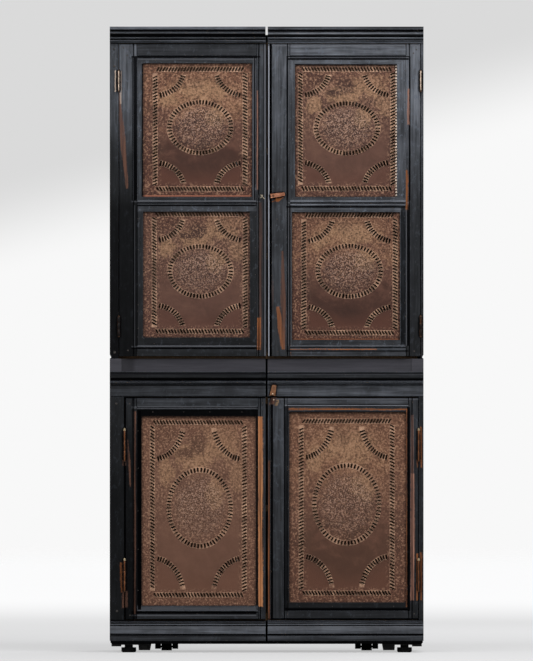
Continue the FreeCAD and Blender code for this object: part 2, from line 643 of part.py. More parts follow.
DOORS = {
    "ul": {"name": "upper_left_door", "hand": "left", "tier": "upper"},
    "ur": {"name": "upper_right_door", "hand": "right", "tier": "upper"},
    "ll": {"name": "lower_left_door", "hand": "left", "tier": "lower"},
    "lr": {"name": "lower_right_door", "hand": "right", "tier": "lower"},
}


def door_frame(door):
    """Stiles, rails, tins and their strips of one door; returns the fixed hinge leaves."""
    name, hand, tier = DOORS[door]["name"], DOORS[door]["hand"], DOORS[door]["tier"]
    sign = SIGN[hand]
    base, head = f"dims.{tier}_door_base", f"dims.{tier}_door_head"
    outer = f"dims.{door}_hinge_x - {sign} * dims.door_gap / 2"
    closing = f"dims.{door}_lock_x"
    hinge_wide, lock_wide = f"dims.{door}_hinge_stile", f"dims.{door}_lock_stile"
    edges = (f"{outer} - {sign} * {hinge_wide}", f"{closing} + {sign} * {lock_wide}")
    left, right = edges if hand == "left" else edges[::-1]
    prefix = tier if tier == "upper" else door
    sill, lintel = f"{base} + dims.{prefix}_bottom_rail", f"{head} - dims.{prefix}_top_rail"
    rails = [rail(door, "bottom", base, sill, left, right, ("high",)),
             rail(door, "top", lintel, head, left, right, ("low",))]
    if tier == "upper":
        mid_low, mid_high = "dims.mid_rail_base", "dims.mid_rail_base + dims.mid_rail_high"
        rails.append(rail(door, "mid", mid_low, mid_high, left, right, ("low", "high")))
        panes = {"high": (mid_high, lintel), "low": (sill, mid_low)}
    else:
        panes = {"": (sill, lintel)}
    keep(group(f"{door}_cross_rails", [tenoned for tenoned, _ in rails]), f"{name}_rails")
    mortises = [tenons for _, tenons in rails]
    plain = stile(door, "hinge_stile", outer, hinge_wide, f"dims.{door}_hinge_bead", -sign, base, head)
    seats = stile_mortises(f"{door}_door", f"dims.{door}_hinge_x",
                           [f"dims.{tier}_hinge_low", f"dims.{tier}_hinge_high"],
                           f"dims.{tier}_leaf", sign, False)
    keep(cut(f"{door}_hinge_stile_cut", plain, seats + mortises), f"{name}_hinge_stile")
    lock = stile(door, "lock_stile", closing, lock_wide, f"dims.{door}_lock_bead", sign, base, head,
                 edge=hand == "right")
    sockets = []
    if door == "ur":
        sockets.append(pin_socket("upper_button_socket", "dims.upper_button_x", "dims.upper_button_z"))
    keep(cut(f"{door}_lock_stile_cut", lock, mortises + sockets), f"{name}_lock_stile")
    rings = []
    for mark, (low, high) in panes.items():
        key = f"{door}_{mark}" if mark else door
        tin(f"{name}_tin_{mark}" if mark else f"{name}_tin", key, left, right, low, high, tier)
        rings.append(strip_ring(f"{key}_strips", key, left, right, low, high))
    keep(group(f"{door}_strip_rings", rings), f"{name}_tin_strips")
    return hinge_pair(door, hand, tier)


# ---------------------------------------------------------------- turn buttons

def turn_button(name, tier):
    """A wooden catch: a tapered arm with a round tail, on a pin that enters the wood behind."""
    arm, tail = f"dims.{tier}_button_arm", f"dims.{tier}_button_tail"
    half = f"dims.{tier}_button_half"
    body = doc.addObject("PartDesign::Body", f"{tier}_button_wood")
    sketch = new_sketch(body, f"{tier}_button_outline", "XZ_Plane")
    tip, heel = f"{arm} - dims.button_nose", f"-{tail} + dims.button_swell"
    draw(sketch, (heel, half),
         [(heel, f"-{half}", "-dims.button_swell"), (tip, f"-{half} * dims.button_taper"),
          (tip, f"{half} * dims.button_taper", "dims.button_nose")])
    pad = body.newObject("PartDesign::Pad", f"{tier}_button_pad")
    pad.Profile = sketch
    pad.setExpression("Length", "dims.button_thick")
    pin = rod(f"{tier}_button_pin", "dims.button_pin", "dims.button_reach", "0", "-0.5", "0", "Y")
    button = joined(f"{tier}_button_solid", [body, pin])
    turn = FreeCAD.Rotation(FreeCAD.Vector(0, -1, 0), value(f"dims.{tier}_button_tilt"))
    button.Placement = FreeCAD.Placement(FreeCAD.Vector(), turn)
    place(button, f"dims.{tier}_button_x", f"{FACE} - dims.button_lift", f"dims.{tier}_button_z")
    keep(button, name)


# ---------------------------------------------------------------- feet and rollers

def levelling_foot(hand):
    """A moulded foot with flats for the hand, a hexagon for a spanner and a screw stem."""
    name = f"foot_{hand}"
    x, y = f"{SIGN[hand]} * dims.foot_x", "dims.foot_y"
    disc = flat_bar(f"{name}_disc", "dims.foot_flats", "dims.foot_round", "dims.foot_high", x, y, "0")
    bevel = doc.addObject("Part::Chamfer", f"{name}_bevelled")
    bevel.Base = disc
    doc.recompute()
    rim = [index for index, edge in enumerate(disc.Shape.Edges, start=1)
           if all(abs(spot.z) < 1e-6 for spot in (edge.Vertexes[0].Point, edge.Vertexes[1].Point))]
    edge_size = value("dims.foot_edge")
    bevel.Edges = [(index, edge_size, edge_size) for index in rim]
    hexagon = flat_bar(f"{name}_hexagon", "6", "dims.neck_round", "dims.nut_base - dims.foot_high",
                       x, y, "dims.foot_high")
    stem = rod(f"{name}_stem", "dims.stem_round", "dims.stem_top - dims.foot_high", x, y, "dims.foot_high")
    keep(joined(f"{name}_moulded", [bevel, hexagon, stem]), f"levelling_foot_{hand}")


def foot_bracket(hand):
    """A steel bracket: plate, corner stub, welded nut for the stem and a tapered block."""
    sign = SIGN[hand]
    deep = ("dims.foot_y - dims.bracket_deep / 2", "dims.foot_y + dims.bracket_deep / 2")
    plate_base = "dims.skid_bottom - dims.bracket_plate"

    def span(near, far):
        near, far = f"{sign} * {near}", f"{sign} * {far}"
        return (near, far) if sign > 0 else (far, near)

    name = f"foot_bracket_{hand}"
    pieces = [board(f"{name}_plate", span("dims.bracket_inner", "dims.bracket_outer"), deep,
                    (plate_base, "dims.skid_bottom")),
              board(f"{name}_stub", span("dims.stub_inner", "dims.bracket_outer"), deep,
                    ("dims.stub_base", plate_base)),
              flat_bar(f"{name}_nut", "6", "dims.neck_round", f"{plate_base} - dims.nut_base",
                       f"{sign} * dims.foot_x", "dims.foot_y", "dims.nut_base")]
    block = extrusion(
        f"{name}_block", "XZ_Plane", (f"{sign} * dims.block_outer", plate_base),
        [(f"{sign} * dims.bracket_inner", plate_base),
         (f"{sign} * (dims.bracket_inner + dims.block_draft)", "dims.block_base"),
         (f"{sign} * (dims.block_outer - dims.block_draft / 3)", "dims.block_base")],
        "dims.bracket_deep - 2 * dims.block_inset")
    pieces.append(place(block, y="dims.foot_y + dims.bracket_deep / 2 - dims.block_inset"))
    bore = rod(f"{name}_bore", "dims.stem_round + dims.stem_fit", "dims.skid_bottom - dims.nut_base",
               f"{sign} * dims.foot_x", "dims.foot_y", "dims.nut_base")
    return cut(name, joined(f"{name}_solid", pieces), [bore])


def roller(hand):
    """A plain wheel, revolved round its axle."""
    body = doc.addObject("PartDesign::Body", f"roller_{hand}_turned")
    sketch = new_sketch(body, f"roller_{hand}_half_section", "XZ_Plane")
    bore, half = "dims.axle_round + dims.axle_fit", "dims.roller_wide / 2"
    draw(sketch, (f"-{half}", bore),
         [(half, bore), (half, "dims.roller_round"), (f"-{half}", "dims.roller_round")])
    spin = body.newObject("PartDesign::Revolution", f"roller_{hand}_spin")
    spin.Profile = sketch
    spin.ReferenceAxis = (plane(body, "X_Axis"), [""])
    spin.Angle = 360
    keep(place(body, f"{SIGN[hand]} * dims.roller_x", "dims.roller_y", "dims.roller_round"),
         f"roller_{hand}")


def roller_bracket(hand):
    """Two cheeks under a plate with a fixed axle between them."""
    centre = f"{SIGN[hand]} * dims.roller_x"
    deep = ("dims.roller_y - dims.cheek_deep / 2", "dims.roller_y + dims.cheek_deep / 2")
    name = f"roller_bracket_{hand}"
    near = "dims.roller_wide / 2 + dims.cheek_gap"
    far = f"{near} + dims.cheek_thick"
    plate_base = "dims.skid_bottom - dims.cheek_plate"
    cheeks = [board(f"{name}_plate", (f"{centre} - ({far})", f"{centre} + {far}"), deep,
                    (plate_base, "dims.skid_bottom"))]
    for side, low, high in (("left", f"-({far})", f"-({near})"), ("right", near, far)):
        cheeks.append(board(f"{name}_{side}", (f"{centre} + {low}", f"{centre} + {high}"), deep,
                            ("dims.cheek_base", plate_base)))
    axle = flat_bar(f"{name}_axle", "dims.axle_flats", "dims.axle_round", f"2 * ({near})",
                    f"{centre} - ({near})", "dims.roller_y", "dims.roller_round", "X")
    return [joined(name, cheeks), axle]


# ---------------------------------------------------------------- assembly

side_boards()
case_stiles()
carcass()
front_mouldings()
grip_rails()
base_skid()
case_leaves = []
for door_key in DOORS:
    case_leaves += door_frame(door_key)
keep(group("fixed_leaves", case_leaves), "hinge_case_leaves")
turn_button("upper_turn_button", "upper")
turn_button("lower_turn_button", "lower")
keep(group("foot_bracket_pair", [foot_bracket(hand) for hand in SIGN]), "foot_brackets")
keep(group("roller_bracket_pair", [piece for hand in SIGN for piece in roller_bracket(hand)]),
     "roller_brackets")
for side_hand in SIGN:
    levelling_foot(side_hand)
    roller(side_hand)

doc.recompute()


def check_and_write():
    """Stop at any failed object or bad shape, then write one STEP file for each node."""
    for item in doc.Objects:
        if any(word in item.State for word in ("Invalid", "Error")):
            raise RuntimeError(f"{item.Name} ({item.Label}) failed: {item.State}")
    for node in nodes:
        shape = node.Shape
        if shape.isNull() or not shape.isValid() or not shape.Solids:
            raise RuntimeError(f"{node.Label} has no valid shape")
    os.makedirs("parts", exist_ok=True)
    for node in nodes:
        node.Shape.exportStep(f"parts/{node.Label}.step")
    print(len(nodes), "nodes,", sum(len(node.Shape.Solids) for node in nodes), "solids")


check_and_write()
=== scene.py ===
# Finishes, punched tins, hinges and small fixings of a black-painted pie safe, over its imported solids.
# Lengths are millimetres here, and MM turns them into the frame's metres.
import math
import random

import bpy
from mathutils import Matrix, Vector


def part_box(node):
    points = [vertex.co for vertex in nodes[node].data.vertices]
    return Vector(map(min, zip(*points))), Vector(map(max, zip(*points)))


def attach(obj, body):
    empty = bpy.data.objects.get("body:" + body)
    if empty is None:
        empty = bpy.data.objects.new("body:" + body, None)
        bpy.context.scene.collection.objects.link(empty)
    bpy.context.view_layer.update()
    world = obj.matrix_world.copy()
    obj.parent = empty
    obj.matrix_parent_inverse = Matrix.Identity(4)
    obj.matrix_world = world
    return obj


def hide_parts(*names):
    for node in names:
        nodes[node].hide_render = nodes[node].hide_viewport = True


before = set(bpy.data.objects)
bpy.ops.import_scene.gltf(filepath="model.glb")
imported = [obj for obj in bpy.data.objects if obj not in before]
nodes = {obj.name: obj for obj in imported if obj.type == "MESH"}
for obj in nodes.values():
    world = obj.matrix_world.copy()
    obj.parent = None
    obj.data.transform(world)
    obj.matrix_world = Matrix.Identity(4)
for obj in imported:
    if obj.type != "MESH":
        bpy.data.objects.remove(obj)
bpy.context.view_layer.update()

MM = 0.001
QUARTER = math.pi / 2
FACE = -211.5               # front of the doors and of the face stiles
DOOR_BACK = -189.5
STRIP_FACE = FACE + 2.1
TIN_FACE = -200.45
HINGE_AXIS = -216.5
BACK_FACE = 225.4
TONGUE_DEPTH = 220.5
WAIST = 800                 # between the lower and the upper doors

# The mitred strips round the tins: left, right and the levels of each tin's strips.
STRIPS = {
    "upper_left": (-374.75, -30, ((1311.5, 1724), (891, 1295))),
    "upper_right": (68.5, 403.25, ((1311.5, 1724), (891, 1295))),
    "lower_left": (-375.25, -25.5, ((122.5, 703.5),)),
    "lower_right": (60.5, 409.75, ((129, 711.5),)),
}


# ---------------------------------------------------------------- shaders

def linear(share):
    share = share / 255
    return share / 12.92 if share <= 0.04045 else ((share + 0.055) / 1.055) ** 2.4


def tint(red, green, blue):
    """A colour written as shares of 255."""
    return (linear(red), linear(green), linear(blue), 1.0)


BLACK = tint(11, 12, 13)


class Value:
    """A number or colour that changes over a surface; arithmetic on it adds the shader's own sums."""

    def __init__(self, finish, socket):
        self.finish = finish
        self.socket = socket

    def sum(self, operation, *values):
        return self.finish.node("ShaderNodeMath", {"operation": operation}, values)

    def __add__(self, other):
        return self.sum("ADD", self, other)

    def __sub__(self, other):
        return self.sum("SUBTRACT", self, other)

    def __rsub__(self, other):
        return self.sum("SUBTRACT", other, self)

    def __mul__(self, other):
        return self.sum("MULTIPLY", self, other)

    def __truediv__(self, other):
        return self.sum("DIVIDE", self, other)

    def __pow__(self, other):
        return self.sum("POWER", self, other)

    def __abs__(self):
        return self.sum("ABSOLUTE", self)

    __radd__ = __add__
    __rmul__ = __mul__

    def least(self, other):
        return self.sum("MINIMUM", self, other)

    def most(self, other):
        return self.sum("MAXIMUM", self, other)

    def rise(self, low, high):
        """0 at low, 1 at high, with a soft start and end."""
        return self.finish.node("ShaderNodeMapRange", {"interpolation_type": "SMOOTHSTEP"},
                                [self, low, high, 0.0, 1.0])


class Shading:
    """A node tree, with the values that are worked out in it."""

    def __init__(self, tree):
        self.tree = tree

    def node(self, kind, settings=(), sockets=(), output=0):
        made = self.tree.nodes.new(kind)
        for name, setting in dict(settings).items():
            if name == "stops":
                for stop, (spot, shade) in zip(self.stops(made.color_ramp, len(setting)), setting):
                    stop.position = spot
                    stop.color = shade
            else:
                setattr(made, name, setting)
        for key, given in sockets.items() if isinstance(sockets, dict) else enumerate(sockets):
            self.feed(made.inputs[key], given)
        return Value(self, made.outputs[output])

    def stops(self, ramp, count):
        while len(ramp.elements) < count:
            ramp.elements.new(0.5)
        return ramp.elements

    def feed(self, socket, given):
        if isinstance(given, Value):
            self.tree.links.new(given.socket, socket)
        else:
            socket.default_value = given

    def blend(self, share, under, over):
        return self.node("ShaderNodeMix", {"data_type": "RGBA"}, {0: share, 6: under, 7: over}, 2)

    def ramp(self, value, *stops):
        return self.node("ShaderNodeValToRGB", {"stops": stops}, [value])


class Finish(Shading):
    """One material, built up from the place on the piece, noise and wear."""

    def __init__(self, name, metal=0.0, gloss=0.3):
        self.material = bpy.data.materials.new(name)
        self.material.use_nodes = True
        super().__init__(self.material.node_tree)
        self.colour = BLACK
        self.surface = self.tree.nodes["Principled BSDF"]
        self.surface.inputs["Metallic"].default_value = metal
        self.surface.inputs["Specular IOR Level"].default_value = gloss
        self.place = self.node("ShaderNodeTexCoord", output="Object")
        self.x, self.y, self.z = (
            self.node("ShaderNodeSeparateXYZ", sockets=[self.place], output=way) * (1 / MM) for way in "XYZ")

    def lay(self, share, over):
        """Cover the colour so far with another, by a share from 0 to 1."""
        self.colour = self.blend(share, self.colour, over)

    def noise(self, grain, detail=4.0, rough=0.55, swirl=0.0, shift=0.0):
        """Soft random patches, grain millimetres long, in all ways alike or in x, y and z."""
        sizes = grain if isinstance(grain, tuple) else (grain,) * 3
        spread = self.node("ShaderNodeVectorMath", {"operation": "MULTIPLY_ADD"},
                           [self.place, tuple(1 / (size * MM) for size in sizes), (shift,) * 3])
        return self.node("ShaderNodeTexNoise", sockets={"Vector": spread, "Scale": 1.0, "Detail": detail,
                                                        "Roughness": rough, "Distortion": swirl})

    def cells(self, grain):
        """How far the nearest of many scattered points lies, grain millimetres apart."""
        spread = self.node("ShaderNodeVectorMath", {"operation": "MULTIPLY"},
                           [self.place, tuple(1 / (size * MM) for size in grain)])
        return self.node("ShaderNodeTexVoronoi", {}, {"Vector": spread, "Scale": 1.0}, "Distance")

    def levels(self, value, *spots):
        """A share that runs through (place, share) pairs, straight from one to the next."""
        first, last = spots[0][0], spots[-1][0]
        part = self.node("ShaderNodeMapRange", sockets=[value, first, last, 0.0, 1.0])
        stops = [((spot - first) / (last - first), (share, share, share, 1.0)) for spot, share in spots]
        return self.node("ShaderNodeSeparateColor", sockets=[self.ramp(part, *stops)])

    def hollows(self, reach):
        """1 in the open, less in creases and corners nearer than reach millimetres."""
        return self.node("ShaderNodeAmbientOcclusion", {"samples": 8}, {"Distance": reach * MM}, "AO")

    def edges(self, radius):
        """1 on arrises, where the surface turns away sharply within radius millimetres."""
        soft = self.node("ShaderNodeBevel", {"samples": 6}, {"Radius": radius * MM})
        flat = self.node("ShaderNodeNewGeometry", output="Normal")
        match = self.node("ShaderNodeVectorMath", {"operation": "DOT_PRODUCT"}, [soft, flat], "Value")
        return match.rise(0.985, 0.80) * self.hollows(radius * 2).rise(0.70, 0.88)

    def facing_up(self):
        """How far the surface looks upward, from -1 to 1."""
        normal = self.node("ShaderNodeNewGeometry", output="Normal")
        return self.node("ShaderNodeSeparateXYZ", sockets=[normal], output="Z")

    def patch(self, spans, lean, taper, edge, rough):
        """1 inside the span of x and z, leaning and tapering, its outline broken by the noise given."""
        (left, right), (low, high) = spans
        middle, half = (low + high) / 2, (right - left) / 2
        centre = (self.z - middle) * lean + (left + right) / 2 if lean else (left + right) / 2
        from_middle = abs(self.z - middle)
        across = half - abs(self.x - centre)
        if taper:
            across = across - from_middle * (taper * half * 2 / (high - low))
        inside = across.least((high - low) / 2 - from_middle)
        return (inside + rough * min(1.0, half / 5)).rise(0.0, min(edge, half))

    def bar(self, spans, wobble=0.0):
        """1 inside a straight bar, given by its span of x and its span of z."""
        (left, right), (low, high) = spans
        across = (right - left) / 2 - abs(self.x - (left + right) / 2)
        up = (high - low) / 2 - abs(self.z - (low + high) / 2)
        return (across.least(up) + wobble).rise(-0.5, 0.6)

    def lay_painted_shade(self, share):
        """Lay dead black, which throws back no light, over the finish: painted shade."""
        painted_shade = self.node("ShaderNodeBsdfPrincipled", sockets={
            "Base Color": tint(4, 4, 5), "Roughness": 1.0, "Specular IOR Level": 0.0})
        under = Value(self, self.surface.outputs[0])
        both = self.node("ShaderNodeMixShader", sockets=[share, under, painted_shade])
        self.tree.links.new(both.socket, self.tree.nodes["Material Output"].inputs["Surface"])

    def coat(self, roughness, height=None, depth=0.5, strength=0.6):
        """Feed the shader; height is a relief of depth millimetres."""
        self.feed(self.surface.inputs["Base Color"], self.colour)
        self.feed(self.surface.inputs["Roughness"], roughness)
        if height is not None:
            relief = self.node("ShaderNodeBump", sockets={"Strength": strength, "Distance": depth * MM,
                                                          "Height": height}, output="Normal")
            self.feed(self.surface.inputs["Normal"], relief)
        return self.material


# ---------------------------------------------------------------- paint and timber

# The pale bluish grey that the paint's grey levels run towards; its bluish cast is painted sheen.
PALE_BLACK = tint(112, 116, 124)
WORN_WOOD = {
    "orange": (tint(96, 50, 24), tint(176, 108, 58)),
    "brown": (tint(64, 40, 32), tint(122, 84, 66)),
    "rose": (tint(112, 74, 62), tint(178, 132, 112)),
    "tan": (tint(100, 74, 52), tint(176, 142, 104)),
    "honey": (tint(138, 82, 48), tint(222, 156, 106)),
    "pale": (tint(150, 128, 112), tint(214, 192, 174)),
}
FIBRES = {"x": (210, 1.9, 1.9), "y": (1.9, 210, 1.9), "z": (1.9, 1.9, 210)}
STROKES = {"x": (120, 7, 7), "y": (7, 120, 7), "z": (7, 7, 120)}
FIGURE = {"x": (420, 11, 11), "y": (11, 420, 11), "z": (11, 11, 420)}


def share_of(level):
    """How far from black to the pale bluish grey of bloom and painted sheen a paint of that grey level lies.
    """
    return (linear(level) - BLACK[0]) / (PALE_BLACK[0] - BLACK[0])


def pine_tones(finish, along, shade=1.0):
    fibres = finish.noise(FIBRES[along], 5.0, 0.6)
    figure = finish.noise(FIGURE[along], 3.0, 0.5, 0.8, 4.0)
    growth = (figure * 14).sum("FRACT", figure * 14)
    rings = abs(growth - 0.5) * 2
    board = finish.blend(rings.rise(0.1, 0.9) * 0.55, tint(168 * shade, 132 * shade, 90 * shade),
                         tint(126 * shade, 86 * shade, 50 * shade))
    return finish.blend(fibres.rise(0.35, 0.75) * 0.6, board, tint(104 * shade, 78 * shade, 54 * shade))


def worn(x, z, wood, strength=0.8, lean=0.0, taper=0.0):
    """A place rubbed through to the wood."""
    return (x, z), wood, strength, lean, taper


def lines_of(finish, sizes, along, frames, detail, rough, shift=0.0):
    """Noise drawn out along the timber; on a frame it turns with each mitred side."""
    if frames is None:
        return finish.noise(sizes[along], detail, rough, 0.3, shift)
    sides, levels = frames
    from_side = abs(finish.x - sides[0]).least(abs(finish.x - sides[1]))
    from_end = abs(finish.z - levels[0])
    for level in levels[1:]:
        from_end = from_end.least(abs(finish.z - level))
    upright = (from_end - from_side).rise(-0.2, 0.2)
    level_lines = finish.noise(sizes["x"], detail, rough, 0.3, shift)
    upright_lines = finish.noise(sizes["z"], detail, rough, 0.3, shift)
    return level_lines + (upright_lines - level_lines) * upright


def black_paint(name, along, tones, marks=(), bare=None, bloom=1.0, frames=None, arris=1.3,
                sweep=(), joints=(), highlight_bars=()):
    """Old black paint over pine. Tones are grey levels up the piece and sweep their share along x; they
    hold the paint's wear and painted light too, lighter where the light falls and darker in shade;
    marks are the places worn to the wood; bare(finish) is 1 where no paint was laid; frames are the
    sides and levels of mitred strips; arris is how far the painted highlight and wear on the edges
    reaches; joints are bars of painted shade in gaps and quirks, and polish are bars of painted highlight."""
    finish = Finish(name, gloss=0.2)
    fibres = lines_of(finish, FIBRES, along, frames, 4.0, 0.62)
    strokes = lines_of(finish, STROKES, along, frames, 4.0, 0.6, 9.0)
    cloud = finish.noise((70, 70, 110), 4.0, 0.6)
    fleck = finish.noise((4, 4, 8), 3.0, 0.7, 0.0, 7.0)
    peel = finish.noise((13, 13, 22), 5.0, 0.7, 0.4, 3.0)
    # The grey levels hold painted light as well as the paint's wear: lighter where light falls brightest,
    # darker in shade.
    lightness = finish.levels(finish.z, *((spot, share_of(level)) for spot, level in tones))
    if sweep:
        lightness = lightness * finish.levels(finish.x, *sweep)
    share = lightness * (0.40 + fibres.rise(0.3, 0.7) * 0.42 + strokes.rise(0.32, 0.68) * 0.75)
    share = share * (0.6 + cloud.rise(0.25, 0.75) * 0.75)
    finish.colour = finish.blend(share, BLACK, PALE_BLACK)
    flaked = (peel + (fleck - 0.5) * 0.3).rise(0.55, 0.66) * 0.3 * bloom
    finish.lay(flaked * (0.3 + lightness * 4), tint(92, 98, 108))
    # Painted highlights along beads and arrises, one bar at a time.
    for span_x, span_z, grey in highlight_bars:
        bar = finish.bar((span_x, span_z), (fibres - 0.5) * 1.2) * (0.45 + strokes)
        finish.lay(bar, tint(grey, grey * 1.02, grey * 1.08))
    # Painted highlights: bluish pale on the arrises, where the same mask also marks wear, and a paler grey on
    # upward-facing faces.
    turned = finish.edges(arris) * (0.4 + fleck.rise(0.35, 0.6) * 0.6) * (lightness * 9).least(1.0)
    finish.lay(finish.facing_up().rise(0.15, 0.8) * 0.3, tint(118, 122, 132))
    finish.lay(turned * 0.85, tint(112, 118, 128))
    scuffed = turned * fleck.rise(0.55, 0.62) * peel.rise(0.5, 0.6)
    finish.lay(scuffed, WORN_WOOD["tan"][1])
    rubbed_all = scuffed
    ragged = (fibres - 0.5) * 9 + (fleck - 0.5) * 7
    streaks = 0.55 + strokes.rise(0.32, 0.58) * 0.45
    for spans, wood, strength, lean, taper in marks:
        rubbed = finish.patch(spans, lean, taper, 3.0, ragged) * streaks * strength
        dark, light = WORN_WOOD[wood]
        finish.lay(rubbed, finish.blend(fibres.rise(0.3, 0.7), dark, light))
        rubbed_all = rubbed_all.most(rubbed)
    # Painted shade: dead black in creases and hollows, where the grey level falls near black, and along the
    # bars below.
    painted_shade = (finish.hollows(8).rise(0.92, 0.60) * 0.95).most(lightness.rise(share_of(30), share_of(12)) * 0.9)
    # Bars of painted shade in gaps and quirks.
    for span_x, span_z, strength in joints:
        painted_shade = painted_shade.most(finish.bar((span_x, span_z), (fibres - 0.5) * 0.9) * strength)
    painted_shade = painted_shade * (1 - rubbed_all * 0.85)
    roughness = 0.38 + fibres * 0.24 + rubbed_all * 0.2
    relief = fibres * 0.3 + strokes * 0.3 + cloud * 0.2 + fleck * 0.25 - rubbed_all * 0.35
    if bare is not None:
        raw = (bare(finish) * 6 + (fleck - 0.5) * 3).rise(2.0, 4.0)
        finish.lay(raw, pine_tones(finish, along, 0.85))
        roughness = roughness.most(raw * 0.78)
        painted_shade = painted_shade * (1 - raw * 0.8)
    finish.lay_painted_shade(painted_shade)
    return finish.coat(roughness, relief, 0.8, 0.5)


def door_back(finish):
    return finish.y.rise(DOOR_BACK - 1.2, DOOR_BACK - 0.6)


def case_inside(finish):
    return abs(finish.x).rise(437.4, 437.1) * finish.z.rise(36, 37)


def pine(name, along, shade=1.0, grime=0.25):
    """Bare pine, hand planed, greyed and stained with use."""
    finish = Finish(name, gloss=0.25)
    fibres = finish.noise(FIBRES[along], 5.0, 0.6, 0.0, 2.0)
    stain = finish.noise((130, 90, 130), 4.0, 0.6)
    knots = finish.cells((190, 190, 430))
    finish.colour = pine_tones(finish, along, shade)
    finish.lay(knots.rise(0.11, 0.05) * 0.8, tint(72, 44, 26))
    finish.lay(stain.rise(0.45, 0.8) * grime * 2, tint(92, 76, 60))
    finish.lay(finish.edges(1.4) * 0.4, tint(178, 148, 110))
    return finish.coat(0.62 + fibres * 0.2, fibres * 0.6 + stain * 0.4, 0.8, 0.5)


# ---------------------------------------------------------------- metal, plastic and rubber

def worked_lines(finish, lines, fan, from_ring):
    """1 along the border, the ring and the corner fans, where the cuts are; then 1 near the border."""
    left, right, low, high = lines
    half_x, half_z = (right - left) / 2, (high - low) / 2
    from_side = half_x - abs(finish.x - (left + right) / 2)
    from_end = half_z - abs(finish.z - (low + high) / 2)
    border = abs(from_side).rise(8.5, 6.5) * from_end.rise(10, 14)
    border = border.most(abs(from_end).rise(8.5, 6.5) * from_side.rise(4, 8))
    across, up = from_side / fan[0], from_end / fan[1]
    quarter = abs((across * across + up * up) ** 0.5 - 1) * sum(fan) * 0.5
    quarter = quarter.rise(9, 7) * from_side.rise(14, 18) * from_end.rise(14, 18)
    near = from_side.least(from_end).rise(24, 4)
    return border.most(quarter).most(from_ring.rise(8.6, 6.8) * 0.8), near


